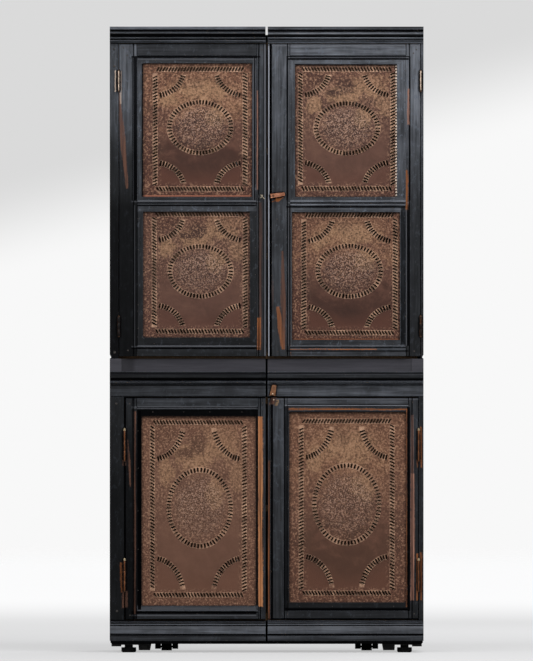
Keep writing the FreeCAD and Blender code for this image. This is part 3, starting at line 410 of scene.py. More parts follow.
def tin_patina(name, scheme, ring, lines, fan, glows):
    """Rusted brown tin with golden bloom; scheme places the bloom and stains, ring is the stippled
    centre, lines and fan place the cuts, glows are the rubbed edges as (x span, z span, colour)."""
    finish = Finish(name, metal=0.3, gloss=0.4)
    middle_x, middle_z, across, up = ring
    side = (finish.x - middle_x) / across
    height = (finish.z - middle_z) / up
    far = (side * side + height * height) ** 0.5
    cloud = finish.noise((60, 60, 46), 5.0, 0.62, 0.6, middle_x / 100)
    speck = finish.noise(5, 4.0, 0.7, 0.0, 5.0)
    grain = finish.noise(5.5, 3.0, 0.65, 0.3, middle_z / 90)
    stipples = finish.noise(3.8, 3.0, 0.65, 0.2, 8.0)
    scale = finish.noise((24, 24, 26), 6.0, 0.72, 0.9, middle_z / 100)

    def spots(*places):
        """Ragged stains, each place and reach told in ring widths and heights from the ring's middle."""
        stains = None
        for over, rise, wide, tall in places:
            run, climb = (side - over) / wide, (height - rise) / tall
            stain = (1 - run * run - climb * climb + (scale - 0.5) * 3.4 + (speck - 0.5) * 1.6).rise(0.0, 0.7)
            stains = stains.most(stain) if stains else stain
        return stains

    if scheme == "smooth":
        body = finish.ramp((height * 0.15 + 0.5 + (cloud - 0.5) * 0.6 + (scale - 0.5) * 0.35),
                           (0.14, tint(63, 40, 32)), (0.34, tint(76, 49, 39)), (0.50, tint(104, 70, 57)),
                           (0.66, tint(132, 94, 71)), (0.82, tint(154, 115, 86)))
        gold = spots((0.1, 1.5, 1.0, 0.55), (0.5, 0.45, 0.4, 0.5), (-1.0, 1.2, 0.35, 0.4)) * 0.7
        dark = spots((-0.15, 1.75, 0.3, 0.3), (0.75, 0.1, 0.35, 0.3), (-1.25, -0.6, 0.3, 0.5)) * 0.35
    else:
        body = finish.ramp((height * 0.05 + 0.5 + (cloud - 0.5) * 0.7 + (scale - 0.5) * 0.3),
                           (0.25, tint(84, 57, 47)), (0.48, tint(102, 71, 59)), (0.70, tint(116, 84, 68)))
        gold = spots((0.75, 1.75, 0.75, 0.6), (-1.07, 0.94, 0.32, 0.45), (-0.1, 1.35, 0.75, 0.45),
                     (0.5, 0.4, 0.35, 0.5)).most(spots((1.2, 0.9, 0.3, 0.6)) * 0.6) * 0.7
        dark = spots((-0.06, 1.68, 0.31, 0.38), (-0.42, 1.42, 0.34, 0.16), (-1.2, 2.0, 0.6, 0.45))
    finish.colour = finish.blend(gold, body, tint(164, 127, 96))
    finish.lay(dark, tint(82, 57, 46))
    worked, near = worked_lines(finish, lines, fan, abs(far - 1) * (across + up) * 0.5)
    lively = height.rise(-0.9, 0.7).most(near).most(far.rise(1.1, 0.95))
    finish.lay(far.rise(1.5, 2.3) * (0.75 if scheme == "smooth" else 0.45), tint(98, 61, 48))
    finish.lay(lively * grain.rise(0.50, 0.62) * 0.65, tint(46, 29, 24))
    finish.lay(lively * grain.rise(0.48, 0.36) * 0.50, tint(196, 154, 124))
    stipple = far.rise(0.95, 0.6) * (0.35 + cloud * 0.7) * (0.6 + height.rise(-0.9, 0.3) * 0.5)
    finish.lay(stipple * stipples.rise(0.50, 0.58) * 0.95, tint(34, 23, 20))
    finish.lay(stipple * stipples.rise(0.48, 0.41) * 0.70, tint(196, 162, 142))
    # Painted highlights on the sheet along the rows of cuts, broken by noise.
    bright = worked * (cloud.rise(0.40, 0.62) * 0.6 + grain.rise(0.4, 0.6) * 0.35)
    finish.lay(bright, tint(214, 172, 142))
    # Painted shade on every raised burr, and painted highlights on the flanks that face up.
    raised = (-1 * finish.y).rise(200.55, 201.2)
    lit = finish.facing_up()
    finish.lay(raised * 0.7, tint(50, 34, 28))
    finish.lay(raised * lit.rise(0.2, 0.6) * 0.6, tint(226, 190, 160))
    # The lower tins are lightened a little to make up for the dimmer light low down: painted light.
    if middle_z < WAIST:
        finish.lay(0.04 if scheme == "smooth" else 0.06, tint(255, 186, 138))
    for span_x, span_z, edge in glows:
        glow = finish.patch((span_x, span_z), 0.0, 0.0, 1.0, (speck - 0.5) * 4)
        finish.lay(glow * 0.85, edge)
    # Painted shade in the hollows by the strips and the cuts.
    finish.lay(finish.hollows(7).rise(0.85, 0.5) * 0.8, tint(20, 13, 11))
    relief = speck * 0.25 + stipples * stipple * 1.6 + cloud * 0.8 + grain * lively
    return finish.coat(0.42 + speck * 0.2, relief, 1.2, 0.8)


# These hinges get no painted highlight line down their barrels.
STILL_BLACK = 946           # the lower hinges of the upper doors keep their paint


def hinge_iron(name):
    """Painted-over iron, rubbed through to rust in streaks and on its edges, with a painted highlight line
    down the front of each barrel, pale above the waist and orange-brown below.
    """
    finish = Finish(name, metal=0.5, gloss=0.4)
    speck = finish.noise((3, 3, 7), 4.0, 0.65)
    drag = finish.noise((3, 3, 26), 4.0, 0.6, 0.4, 3.0)
    finish.colour = finish.blend(speck.rise(0.4, 0.7) * 0.35, tint(12, 11, 11), tint(66, 40, 27))
    rubbed = (finish.edges(0.7) * 0.6 + drag.rise(0.55, 0.66) * 0.5).least(1.0)
    finish.lay(rubbed, tint(136, 86, 52))
    # Painted highlight down the front crest of each barrel.
    crest = finish.y.rise(-220.5, -220.95) * (0.3 + drag) * abs(finish.z - STILL_BLACK).rise(60, 90)
    bright = finish.blend(finish.z.rise(WAIST, WAIST + 100), tint(140, 84, 46), tint(232, 206, 184))
    finish.lay(crest, bright)
    return finish.coat(0.36 + speck * 0.25, speck + drag * 0.5, 0.3, 0.5)


def plain_metal(name, dark, light, metal=0.8, rough=0.3):
    """Small metal parts: mottled tarnish, bright on the rims."""
    finish = Finish(name, metal=metal, gloss=0.5)
    speck = finish.noise(2.2, 4.0, 0.65)
    cloud = finish.noise(14, 3.0, 0.6, 0.0, 6.0)
    finish.colour = finish.blend((speck * 0.6 + cloud * 0.5).rise(0.35, 0.7), dark, light)
    finish.lay(finish.edges(0.6) * 0.6, light)
    return finish.coat(rough + speck * 0.25, speck, 0.15, 0.4)


def grip_grey(name):
    """Flat grey plastic of the finger rail, with painted shade in the scoop at its left end and painted
    highlights on its edges.
    """
    finish = Finish(name, gloss=0.3)
    cloud = finish.noise((160, 30, 12), 4.0, 0.6)
    grit = finish.noise(0.8, 2.0, 0.5)
    finish.colour = finish.blend(cloud.rise(0.3, 0.7), tint(58, 57, 63), tint(70, 69, 75))
    # Painted shade where the scoop turns away at the left end.
    shadowed = finish.x.rise(-376, -392) * finish.x.rise(-424, -418)
    finish.lay(shadowed * 0.8, tint(38, 37, 42))
    # Painted highlights on the edges.
    finish.lay(finish.edges(1.2) * 0.5, tint(104, 104, 108))
    return finish.coat(0.5 + grit * 0.15, grit, 0.08, 0.4)


def moulded_plastic(name, dark, light, rough):
    finish = Finish(name, gloss=0.35)
    grit = finish.noise(0.7, 2.0, 0.5)
    scuff = finish.noise(9, 4.0, 0.7)
    finish.colour = finish.blend(scuff.rise(0.45, 0.75) * 0.7, dark, light)
    finish.lay(finish.edges(0.9) * 0.4, light)
    return finish.coat(rough + scuff * 0.2, grit + scuff * 0.4, 0.12, 0.5)


def button_wood(name, along, dark, middle, light):
    """Worn hardwood of a turn button, with darker patches and paler edges."""
    finish = Finish(name, gloss=0.35)
    fibres = finish.noise({"x": (24, 1.3, 1.3), "z": (1.3, 1.3, 24)}[along], 4.0, 0.65)
    cloud = finish.noise(9, 3.0, 0.6, 0.0, 3.0)
    finish.colour = finish.ramp((fibres * 0.65 + cloud * 0.4), (0.32, dark), (0.5, middle), (0.68, light))
    finish.lay(finish.edges(0.8) * 0.55, light)
    finish.lay(cloud.rise(0.6, 0.72) * 0.6, dark)
    return finish.coat(0.42 + fibres * 0.25, fibres, 0.4, 0.5)


# ---------------------------------------------------------------- making pieces

def start():
    """Leave edit mode and let go of everything before a new piece is begun."""
    if bpy.context.object and bpy.context.object.mode != "OBJECT":
        leave()
    bpy.ops.object.select_all(action="DESELECT")


def pick(piece, wanted, kind="FACE"):
    """Select the faces, edges or corners that pass a test, and stay in edit mode."""
    bpy.ops.object.mode_set(mode="EDIT")
    bpy.ops.mesh.select_mode(type=kind)
    bpy.ops.mesh.select_all(action="DESELECT")
    leave()
    parts = {"FACE": piece.data.polygons, "EDGE": piece.data.edges, "VERT": piece.data.vertices}[kind]
    for part in parts:
        part.select = bool(wanted(part))
    bpy.ops.object.mode_set(mode="EDIT")


def leave():
    """Go back from edit mode."""
    bpy.ops.object.mode_set(mode="OBJECT")


def pull(x, y, z):
    """Draw the picked faces out by a step in metres."""
    bpy.ops.mesh.extrude_region_move(TRANSFORM_OT_translate={"value": (x, y, z)})


def settle(piece, smooth=None):
    """Put a piece's place into its mesh, with its object at the origin."""
    start()
    piece.select_set(True)
    bpy.context.view_layer.objects.active = piece
    bpy.ops.object.transform_apply(location=True, rotation=True, scale=True)
    if smooth is not None:
        bpy.ops.object.shade_smooth_by_angle(angle=math.radians(smooth))
    return piece


def modify(piece, kind, **settings):
    """Add a modifier and apply it."""
    bpy.context.view_layer.objects.active = piece
    added = piece.modifiers.new(kind.title(), kind)
    for name, setting in settings.items():
        setattr(added, name, setting)
    bpy.ops.object.modifier_apply(modifier=added.name)
    return piece


def ease(piece, width, segments=2, angle=60):
    """Round over the edges where the surface turns by more than an angle."""
    return modify(piece, "BEVEL", width=width * MM, segments=segments, limit_method="ANGLE",
                  angle_limit=math.radians(angle))


def post(radius, depth, centre, sides, turn=0.0):
    """An upright cylinder, tipped back by a turn about x."""
    start()
    bpy.ops.mesh.primitive_cylinder_add(vertices=sides, radius=radius * MM, depth=depth * MM,
                                        location=Vector(centre) * MM, rotation=(turn, 0, 0))
    return settle(bpy.context.object)


def block(size, centre):
    start()
    bpy.ops.mesh.primitive_cube_add(size=1, location=Vector(centre) * MM)
    piece = bpy.context.object
    piece.scale = Vector(size) * MM
    return settle(piece)


def put(thing):
    """Bring an object into the scene."""
    bpy.context.scene.collection.objects.link(thing)


def copy_to(pattern, place, turn=None):
    """A copy of a pattern piece with its own mesh, moved and turned to its place."""
    copy = pattern.copy()
    copy.data = pattern.data.copy()
    put(copy)
    copy.matrix_world = Matrix.Translation(Vector(place) * MM) @ (turn or Matrix())
    return copy


def join(pieces):
    start()
    for piece in pieces:
        piece.select_set(True)
    bpy.context.view_layer.objects.active = pieces[0]
    bpy.ops.object.join()
    return pieces[0]


def throw_away(*pieces):
    for piece in pieces:
        bpy.data.objects.remove(piece)


def fit(piece, name, body, finish, stands_for=()):
    """Name and paint a finished piece, and let it ride on its body."""
    piece.name = name
    piece.data.materials.clear()
    piece.data.materials.append(finish)
    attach(piece, body)
    if stands_for:
        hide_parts(*stands_for)
    return piece


def facing_front(turn=0.0):
    """Stands a pattern that was made face up so that it faces the front, turned about its own middle."""
    return Matrix.Rotation(QUARTER, 4, "X") @ Matrix.Rotation(turn, 4, "Z")


# ---------------------------------------------------------------- patterns for small fixings, made face up

def nail_head(radius, high):
    """A forged head: a low dome with a flattened crown."""
    head = post(radius, high, (0, 0, high / 2), 10)
    pick(head, lambda face: face.normal.z > 0.9)
    bpy.ops.mesh.inset(thickness=radius * 0.35 * MM, depth=high * 0.35 * MM)
    bpy.ops.mesh.inset(thickness=radius * 0.25 * MM, depth=high * 0.08 * MM)
    leave()
    return settle(head, 50)


def slotted_screw(radius, high):
    """A countersunk screw head with a driver slot cut across it."""
    head = post(radius, high, (0, 0, high / 2), 16)
    pick(head, lambda face: face.normal.z > 0.9)
    bpy.ops.mesh.inset(thickness=radius * 0.16 * MM, depth=high * 0.2 * MM)
    for side in (-1, 1):
        bpy.ops.mesh.bisect(plane_co=(0, side * radius * 0.13 * MM, 0), plane_no=(0, 1, 0))
        leave()
        pick(head, lambda face: face.normal.z > 0.9 and face.center.z > high * MM)
    leave()
    pick(head, lambda face: face.normal.z > 0.9 and face.center.z > high * MM
         and abs(face.center.y) < radius * 0.12 * MM)
    pull(0, 0, -0.45 * high * MM)
    leave()
    return settle(head, 35)


def wood_peg(radius, high):
    """A riven peg end, eight-sided and rounded over."""
    return settle(ease(post(radius, high, (0, 0, high / 2), 8), 0.35 * high, 2, 50), 40)


# ---------------------------------------------------------------- punched tins

CUT_LONG = 17.5
CUT_WIDE = 6.4
CUT_RIM = 0.65
CUT_RISE = 1.1
CUT_SNIP = 2.1
CUT_CLEAR = 6.6             # the least distance between the middle lines of two cuts
SHEET_THICK = 0.5


def chisel_cut():
    """One cut in a tin: an open slot in the crest of a long burr with snipped corners."""
    start()
    bpy.ops.mesh.primitive_plane_add(size=1)
    cut = bpy.context.object
    cut.scale = (CUT_LONG * MM, CUT_WIDE * MM, 1)
    settle(cut)
    pick(cut, lambda corner: True, "VERT")
    bpy.ops.mesh.bevel(offset=CUT_SNIP * MM, segments=1, affect="VERTICES")
    pick(cut, lambda face: True)
    bpy.ops.mesh.inset(thickness=CUT_RIM * MM, depth=CUT_RISE * MM)
    bpy.ops.mesh.delete(type="FACE")
    leave()
    cut.data.transform(Matrix.Rotation(QUARTER, 4, "X"))
    return cut


def border_cuts(lines, counts, slants):
    """Slanted cuts along the four border lines, as (x, z, angle, share of the full length)."""
    left, right, low, high = lines
    along, up = counts
    top, bottom, near, far = slants
    for step in range(along):
        x = left + (right - left) * (step + 0.9) / (along + 0.8)
        yield x, high, top, 1.0
        yield x, low, bottom, 1.0
    for step in range(up):
        z = low + (high - low) * (step + 0.5) / up
        yield left, z, near, 1.0
        yield right, z, far, 1.0


def ring_cuts(ring, count):
    """Cuts square to an oval, evenly spaced round it."""
    middle_x, middle_z, across, up = ring
    fine = 720
    walk = [0.0]
    for step in range(fine):
        turn = 2 * math.pi * (step + 0.5) / fine
        walk.append(walk[-1] + math.hypot(across * math.sin(turn), up * math.cos(turn)))
    step = 0
    for mark in range(count):
        while walk[step] < walk[-1] * mark / count:
            step += 1
        turn = 2 * math.pi * step / fine
        yield (middle_x + across * math.cos(turn), middle_z + up * math.sin(turn),
               math.degrees(math.atan2(across * math.sin(turn), up * math.cos(turn))), 0.92)


def fan_cuts(lines, reach, count):
    """A quarter oval of radial cuts round each corner of the border."""
    left, right, low, high = lines
    across, up = reach
    for corner_x, corner_z, way_x, way_z in ((left, low, 1, 1), (right, low, -1, 1),
                                             (right, high, -1, -1), (left, high, 1, -1)):
        for step in range(count):
            turn = math.radians(16 + 63 * step / (count - 1))
            run, climb = across * math.cos(turn), up * math.sin(turn)
            yield (corner_x + way_x * run, corner_z + way_z * climb,
                   math.degrees(math.atan2(way_z * climb * across / up, way_x * run)), 1.08)


def spine(x, z, angle, share):
    """Points along the middle of one cut."""
    turn = math.radians(angle)
    for part in (-0.36, -0.12, 0.12, 0.36):
        reach = part * share * CUT_LONG
        yield x + reach * math.cos(turn), z + reach * math.sin(turn)


def clear_cuts(marks):
    """Leaves out a cut that would run into one already there."""
    kept = []
    for mark in marks:
        points = list(spine(*mark))
        if all(math.dist(point, other) > CUT_CLEAR for spot in kept for other in spine(*spot)
               for point in points):
            kept.append(mark)
    return kept


def punched_tin(node, name, body, scheme, lines, ring, counts, fan, pattern, luck, glows):
    """A sheet with its cuts joined into it, given thickness and let in where the plain sheet sits."""
    low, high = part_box(node)
    front = low.y / MM
    slants = {"smooth": (61, -62, 27, -27), "blotched": (-62, -65, -32, 26)}[scheme]
    marks = clear_cuts([*border_cuts(lines, counts[:2], slants), *ring_cuts(ring, counts[2]),
                        *fan_cuts(lines, fan, counts[3])])
    pieces = []
    for x, z, angle, share in marks:
        turn = math.radians(-angle + luck.uniform(-2.5, 2.5))
        size = luck.uniform(0.84, 1.0)
        pieces.append(copy_to(pattern, (x + luck.uniform(-0.3, 0.3), front, z + luck.uniform(-0.3, 0.3)),
                              Matrix.Rotation(turn, 4, "Y") @ Matrix.Diagonal((size * share, 1, size, 1))))
    start()
    middle = (low + high) / 2
    bpy.ops.mesh.primitive_plane_add(size=1, location=(middle.x, low.y, middle.z), rotation=(QUARTER, 0, 0))
    rim = bpy.context.object
    rim.scale = (high.x - low.x, high.z - low.z, 1)
    pick(rim, lambda face: True)
    bpy.ops.mesh.delete(type="ONLY_FACE")
    leave()
    sheet = settle(join([rim, *pieces]))
    corners = sheet.data.vertices
    pick(sheet, lambda edge: all(abs(corners[v].co.y - low.y) < 1e-5 for v in edge.vertices), "EDGE")
    bpy.ops.mesh.fill(use_beauty=True)
    bpy.ops.mesh.select_all(action="SELECT")
    bpy.ops.mesh.normals_make_consistent(inside=False)
    leave()
    if sum(face.normal.y * face.area for face in sheet.data.polygons) > 0:
        pick(sheet, lambda face: True)
        bpy.ops.mesh.flip_normals()
        leave()
    modify(sheet, "SOLIDIFY", thickness=SHEET_THICK * MM, offset=-1)
    settle(sheet, 25)
    return fit(sheet, name, body, tin_patina(name, scheme, ring, lines, fan, glows), [node])


# How many cuts lie along the border, up it, round the ring and in each fan; then how far a fan reaches
# across and up from its corner.
UPPER_COUNTS = (29, 38, 56, 12)
LOWER_COUNTS = (29, 52, 66, 14)
UPPER_FAN = (84, 76)
LOWER_FAN = (90, 107)


def punched_tins():
    cut = chisel_cut()
    luck = random.Random(11)
    for door, tier, scheme, lines, ring, *glows in (
            ("upper_left", "_high", "smooth", (-323.4, -62.8, 1344.6, 1691.7), (-192.7, 1522.9, 89.5, 73.6),
             ((-362, -40), (1318, 1326.5), tint(178, 112, 88))),
            ("upper_left", "_low", "blotched", (-326.0, -62.1, 931.3, 1271.5), (-192.7, 1105.5, 88.8, 72.6)),
            ("upper_right", "_high", "blotched", (98.0, 366.0, 1345.6, 1691.7), (232.9, 1520.3, 89.5, 72.2),
             ((374, 379), (1322, 1704), tint(120, 92, 78))),
            ("upper_right", "_low", "smooth", (108.0, 372.8, 927.3, 1268.5), (240.0, 1105.9, 91.0, 73.6),
             ((76, 388), (904, 910), tint(176, 104, 62))),
            ("lower_left", "", "blotched", (-331.5, -64.4, 166.8, 667.1), (-194.2, 419.1, 90.0, 110.4)),
            ("lower_right", "", "smooth", (100.3, 364.2, 172.3, 671.1), (232.1, 429.8, 94.0, 112.5))):
        counts, fan = (UPPER_COUNTS, UPPER_FAN) if tier else (LOWER_COUNTS, LOWER_FAN)
        punched_tin(f"{door}_door_tin{tier}", f"{door}{tier}_punched_tin", f"{door}_door", scheme, lines,
                    ring, counts, fan, cut, luck, glows)
    throw_away(cut)


# ---------------------------------------------------------------- hinges

BARREL = 4.5
KNUCKLE_GAP = 0.3
LEAF_THICK = 1.6
LEAF_WIDE = 15
DOOR_GAP = 1.5
# Each door's pin: its place in x, the way the door lies from it, and the hinges' length and levels.
HINGES = {
    "upper_left": (-429, 1, 56, (STILL_BLACK, 1658)), "upper_right": (447, -1, 56, (STILL_BLACK, 1658)),
    "lower_left": (-412, 1, 88, (223, 600)), "lower_right": (441, -1, 88, (223, 600)),
}


def knuckle(x, low, high):
    """A rolled knuckle, its rims eased."""
    barrel = post(BARREL, high - low, (x, HINGE_AXIS, (low + high) / 2), 24)
    return settle(ease(barrel, 0.7), 40)


def leaf(x, way, low, high, knuckles):
    """A hinge leaf in the joint between door and case, with the webs that wrap its knuckles."""
    near, far = x + way * DOOR_GAP / 2, x + way * (DOOR_GAP / 2 + LEAF_THICK)
    plate = block((LEAF_THICK, LEAF_WIDE, high - low),
                  ((near + far) / 2, FACE + LEAF_WIDE / 2, (low + high) / 2))
    for foot, head in knuckles:
        for level in (foot, head):
            if low + 1 < level < high - 1:
                pick(plate, lambda face: True)
                bpy.ops.mesh.bisect(plane_co=(0, 0, level * MM), plane_no=(0, 0, 1))
                leave()
    pick(plate, lambda face: face.normal.y < -0.9
         and any(foot < face.center.z / MM < head for foot, head in knuckles))
    pull(0, (HINGE_AXIS - FACE) * MM, 0)
    leave()
    return settle(ease(plate, 0.3, 1), 30)


def finial(x, level, way, size=1.0):
    """The turned tip that keeps a hinge pin in its barrel."""
    tip = post(3.4, 1.2, (x, HINGE_AXIS, level + way * 0.6), 16)
    pick(tip, lambda face: face.normal.z * way > 0.9)
    for inset, rise in ((1.5, 0.2), (-0.9, 1.0), (0.5, 1.0), (0.9, 0.6)):
        bpy.ops.mesh.inset(thickness=max(inset, 0) * MM, depth=0)
        if inset < 0:
            bpy.ops.transform.resize(value=(1.45, 1.45, 1))
        pull(0, 0, way * rise * MM)
    leave()
    foot = Matrix.Translation((x * MM, HINGE_AXIS * MM, level * MM))
    tip.data.transform(foot @ Matrix.Diagonal((min(size, 1.25), min(size, 1.25), size, 1)) @ foot.inverted())
    return settle(tip, 50)


def hinges():
    iron = hinge_iron("hinge_iron_rubbed_and_highlit")
    fixed, tips, heads = [], [], []
    for door, (x, way, length, levels) in HINGES.items():
        moving = []
        for level in levels:
            low, high, third = level - length / 2, level + length / 2, length / 3
            foot = (low, low + third - KNUCKLE_GAP)
            mid = (low + third, low + 2 * third)
            head = (low + 2 * third + KNUCKLE_GAP, high)
            fixed += [leaf(x, -way, low, high, (foot, head)), knuckle(x, *foot), knuckle(x, *head)]
            moving += [leaf(x, way, low, high, (mid,)), knuckle(x, *mid)]
            tips.append(finial(x, low, -1))
            if level < WAIST:
                heads.append(finial(x, high, 1, 1.7))
            else:
                tips.append(finial(x, high, 1))
        fit(join(moving), f"{door}_hinge_knuckles", f"{door}_door", iron,
            [f"{door}_door_hinge_leaves"])
    fit(join(fixed), "case_hinge_knuckles", "case", iron, ["hinge_case_leaves"])
    fit(join(tips), "hinge_pin_tips", "case",
        plain_metal("pin_tip_iron", tint(34, 26, 22), tint(112, 84, 64)))
    fit(join(heads), "hinge_pin_heads", "case",
        plain_metal("pin_head_brass", tint(150, 128, 98), tint(240, 220, 180)))


# ---------------------------------------------------------------- turn buttons, keeper, pegs and nails

def softened(node, width):
    """A copy of a solid with its arrises rubbed round."""
    start()
    piece = nodes[node].copy()
    piece.data = nodes[node].data.copy()
    put(piece)
    piece.parent = None
    for key in list(piece.keys()):
        del piece[key]
    settle(piece)
    pick(piece, lambda face: True)
    bpy.ops.mesh.remove_doubles(threshold=0.00001)
    leave()
    return settle(ease(piece, width, 3, 30), 40)


BUTTON_LIFT = 0.4
BUTTON_THICK = 9


def turn_buttons():
    screw = slotted_screw(3.4, 1.2)
    nail = nail_head(2.0, 0.9)
    bright = plain_metal("bright_nail", tint(190, 160, 120), tint(255, 240, 214), 0.6, 0.25)
    front = FACE - BUTTON_LIFT - BUTTON_THICK
    for tier, along, *tones in (("upper", "x", tint(78, 40, 24), tint(152, 96, 68), tint(212, 152, 120)),
                                ("lower", "z", tint(52, 32, 20), tint(120, 80, 54), tint(176, 124, 84))):
        fit(softened(f"{tier}_turn_button", 1.1), f"{tier}_button_block", f"{tier}_button",
            button_wood(f"{tier}_button_walnut", along, *tones), [f"{tier}_turn_button"])
    screw_iron = plain_metal("button_screw_iron", tint(92, 62, 44), tint(146, 104, 78))
    for pattern, place, turn, name, body, metal in (
            (screw, (19, front + 0.4, 1325), 0.5, "upper_button_screw", "upper_button", screw_iron),
            (nail, (17.8, front + 0.2, 750.3), 0, "lower_button_nail", "lower_button", bright),
            (nail, (20.5, FACE + 0.95, 733), 0, "door_strike_nail", "lower_right_door", bright)):
        fit(settle(copy_to(pattern, place, facing_front(turn))), name, body, metal)
    throw_away(screw, nail)


def keeper_plate():
    """The let-in iron disc that the upper button closes over, with its clenched nail."""
    disc = post(8.2, 1.2, (-16.8, FACE + 0.3, 1322.7), 28, QUARTER)
    pick(disc, lambda face: face.normal.y < -0.9)
    bpy.ops.mesh.inset(thickness=1.8 * MM, depth=0)
    bpy.ops.mesh.inset(thickness=0.6 * MM, depth=-0.25 * MM)
    leave()
    fit(settle(disc, 30), "keeper_disc", "upper_left_door",
        plain_metal("keeper_iron", tint(7, 7, 8), tint(34, 34, 36), 0.3, 0.5))
    arms = []
    for x, z, length, lean in ((-11.6, 1321.4, 16.5, 0.85), (-13.8, 1323.1, 11, -0.94)):
        arm = ease(block((length, 1.5, 2.6), (0, 0, 0)), 0.5, 2, 30)
        place = Matrix.Translation(Vector((x, FACE + 0.42, z)) * MM)
        arm.data.transform(place @ Matrix.Rotation(lean, 4, "Y"))
        arms.append(arm)
    fit(settle(join(arms), 30), "keeper_clench", "upper_left_door",
        plain_metal("clenched_nail", tint(112, 100, 84), tint(226, 212, 186), 0.4, 0.35))


def on_face(pattern, spots, name, body, finish, luck):
    """The same small head set at several places on the front face of one body."""
    heads = [copy_to(pattern, (x, depth, z), facing_front(luck.uniform(0, 6))) for x, depth, z in spots]
    fit(settle(join(heads)), name, body, finish)


def plank_tongues():
    """Loose tongues that close the joints between the back planks."""
    low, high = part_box("back_boards")
    tongues = []
    for x in (-262.2, -87.4, 87.4, 262.2):
        tongue = block((0.9, 5, (high.z - low.z) / MM), (x, TONGUE_DEPTH, (low.z + high.z) / 2 / MM))
        tongues.append(ease(tongue, 0.1, 1, 30))
    fit(settle(join(tongues)), "back_board_tongues", "case",
        pine("tongue_pine", "z", 0.5, 0.6))


def edge_beads():
    """A line of small raised dots down the outer edge of the upper right tin."""
    bead = nail_head(3.1, 1.8)
    spots = [(376.4, TIN_FACE, 1326 + 8.7 * step) for step in range(44)]
    on_face(bead, spots, "upper_right_tin_beads", "upper_right_door",
            plain_metal("rubbed_tin_beads", tint(176, 150, 130), tint(255, 236, 218), 0.2, 0.4),
            random.Random(3))
    throw_away(bead)


def pegs_and_nails():
    luck = random.Random(5)
    peg = wood_peg(3.6, 0.7)
    nail = nail_head(2.1, 0.5)
    brad = nail_head(1.3, 0.35)
    peg_wood = button_wood("peg_wood", "x", tint(20, 20, 21), tint(44, 44, 46), tint(92, 80, 68))
    nail_iron = plain_metal("nail_iron", tint(22, 20, 20), tint(92, 84, 80), 0.5, 0.4)
    at = FACE + 0.1
    nails = {
        "upper_left": ((-414.9, 1753.3), (-404, 1732), (-402, 876), (-14, 1748)),
        "upper_right": ((434.6, 1748.4), (426, 1738), (30.6, 1256.6), (428, 874), (32, 872)),
        "lower_left": ((-398, 722), (-396, 108), (-12, 724)),
        "lower_right": ((39.9, 384.3), (424, 726), (428, 112), (30, 728)),
    }
    for key, spots in nails.items():
        door = f"{key}_door"
        places = [(x, at, z) for x, z in spots]
        on_face(nail, places, f"{door}_nail_heads", door, nail_iron, luck)
        left, right, tiers = STRIPS[key]
        brads = []
        for low, high in tiers:
            for step in range(4):
                x = left + (right - left) * (step + 0.5) / 4 + luck.uniform(-9, 9)
                brads += [(x, STRIP_FACE, low + 4.6), (x + luck.uniform(-6, 6), STRIP_FACE, high - 6)]
            for step in range(5):
                z = low + (high - low) * (step + 0.5) / 5 + luck.uniform(-9, 9)
                brads += [(left + 2.3, STRIP_FACE, z), (right - 2.3, STRIP_FACE, z + luck.uniform(-6, 6))]
        on_face(brad, brads, f"{door}_strip_brads", door, nail_iron, luck)
    pegs = [(x, at, z) for x, z in ((-442.7, 1749.5), (-442, 1700), (-441, 870), (-436, 722), (-434, 120))]
    on_face(peg, pegs, "case_pegs", "case", peg_wood, luck)
    heads = [copy_to(nail, (x + luck.uniform(-3, 3), BACK_FACE, z + luck.uniform(-3, 3)),
                     Matrix.Rotation(-QUARTER, 4, "X"))
             for x in (-424, -262, -250, -88, -76, 84, 96, 258, 270, 424)
             for z in (46, 84, 417, 843, 1150, 1456, 1779)]
    fit(settle(join(heads)), "back_board_nails", "case", nail_iron)
    throw_away(peg, nail, brad)


# ---------------------------------------------------------------- paint on the carried solids

def dress(names, finish):
    """Lay one finish on the carried solids named."""
    for name in names.split():
        for slot in nodes[name].material_slots:
            slot.material = finish


# Grey levels of the paint up each moulding, one or two to a member, with light and shade painted in:
# fillets, beads and the plinth's slope carry painted highlights; quirks, coves and grooves painted shade.
CORNICE_LEFT = ((1767, 2), (1772, 92), (1777.5, 0), (1782, 60), (1787, 6), (1795, 14), (1798, 76), (1804, 0),
                (1810, 96), (1814, 88))
CORNICE_RIGHT = ((1766, 2), (1770, 124), (1775, 0), (1780.5, 132), (1785, 0), (1792, 26), (1796, 98),
                 (1801, 0), (1808, 74), (1814, 44))
WAIST_LEFT = ((777.5, 14), (783, 106), (786, 96), (791, 4), (802, 30), (809, 8), (814.5, 48))
WAIST_RIGHT = ((777.5, 20), (783, 196), (786, 186), (791.5, 2), (802, 42), (809, 0), (814.5, 70))
FRIEZE_LEFT = ((741.5, 22), (746, 50), (771, 56), (777, 4))
FRIEZE_RIGHT = ((741.5, 20), (746, 76), (775, 68), (777, 56))
PLINTH_LEFT = ((34, 28), (42, 58), (49, 12), (54, 84), (62, 82), (75, 56), (84, 46), (93, 0))
PLINTH_RIGHT = ((34, 28), (40, 56), (47, 66), (52, 4), (57, 68), (69, 74), (84, 56), (87, 78), (90, 40))


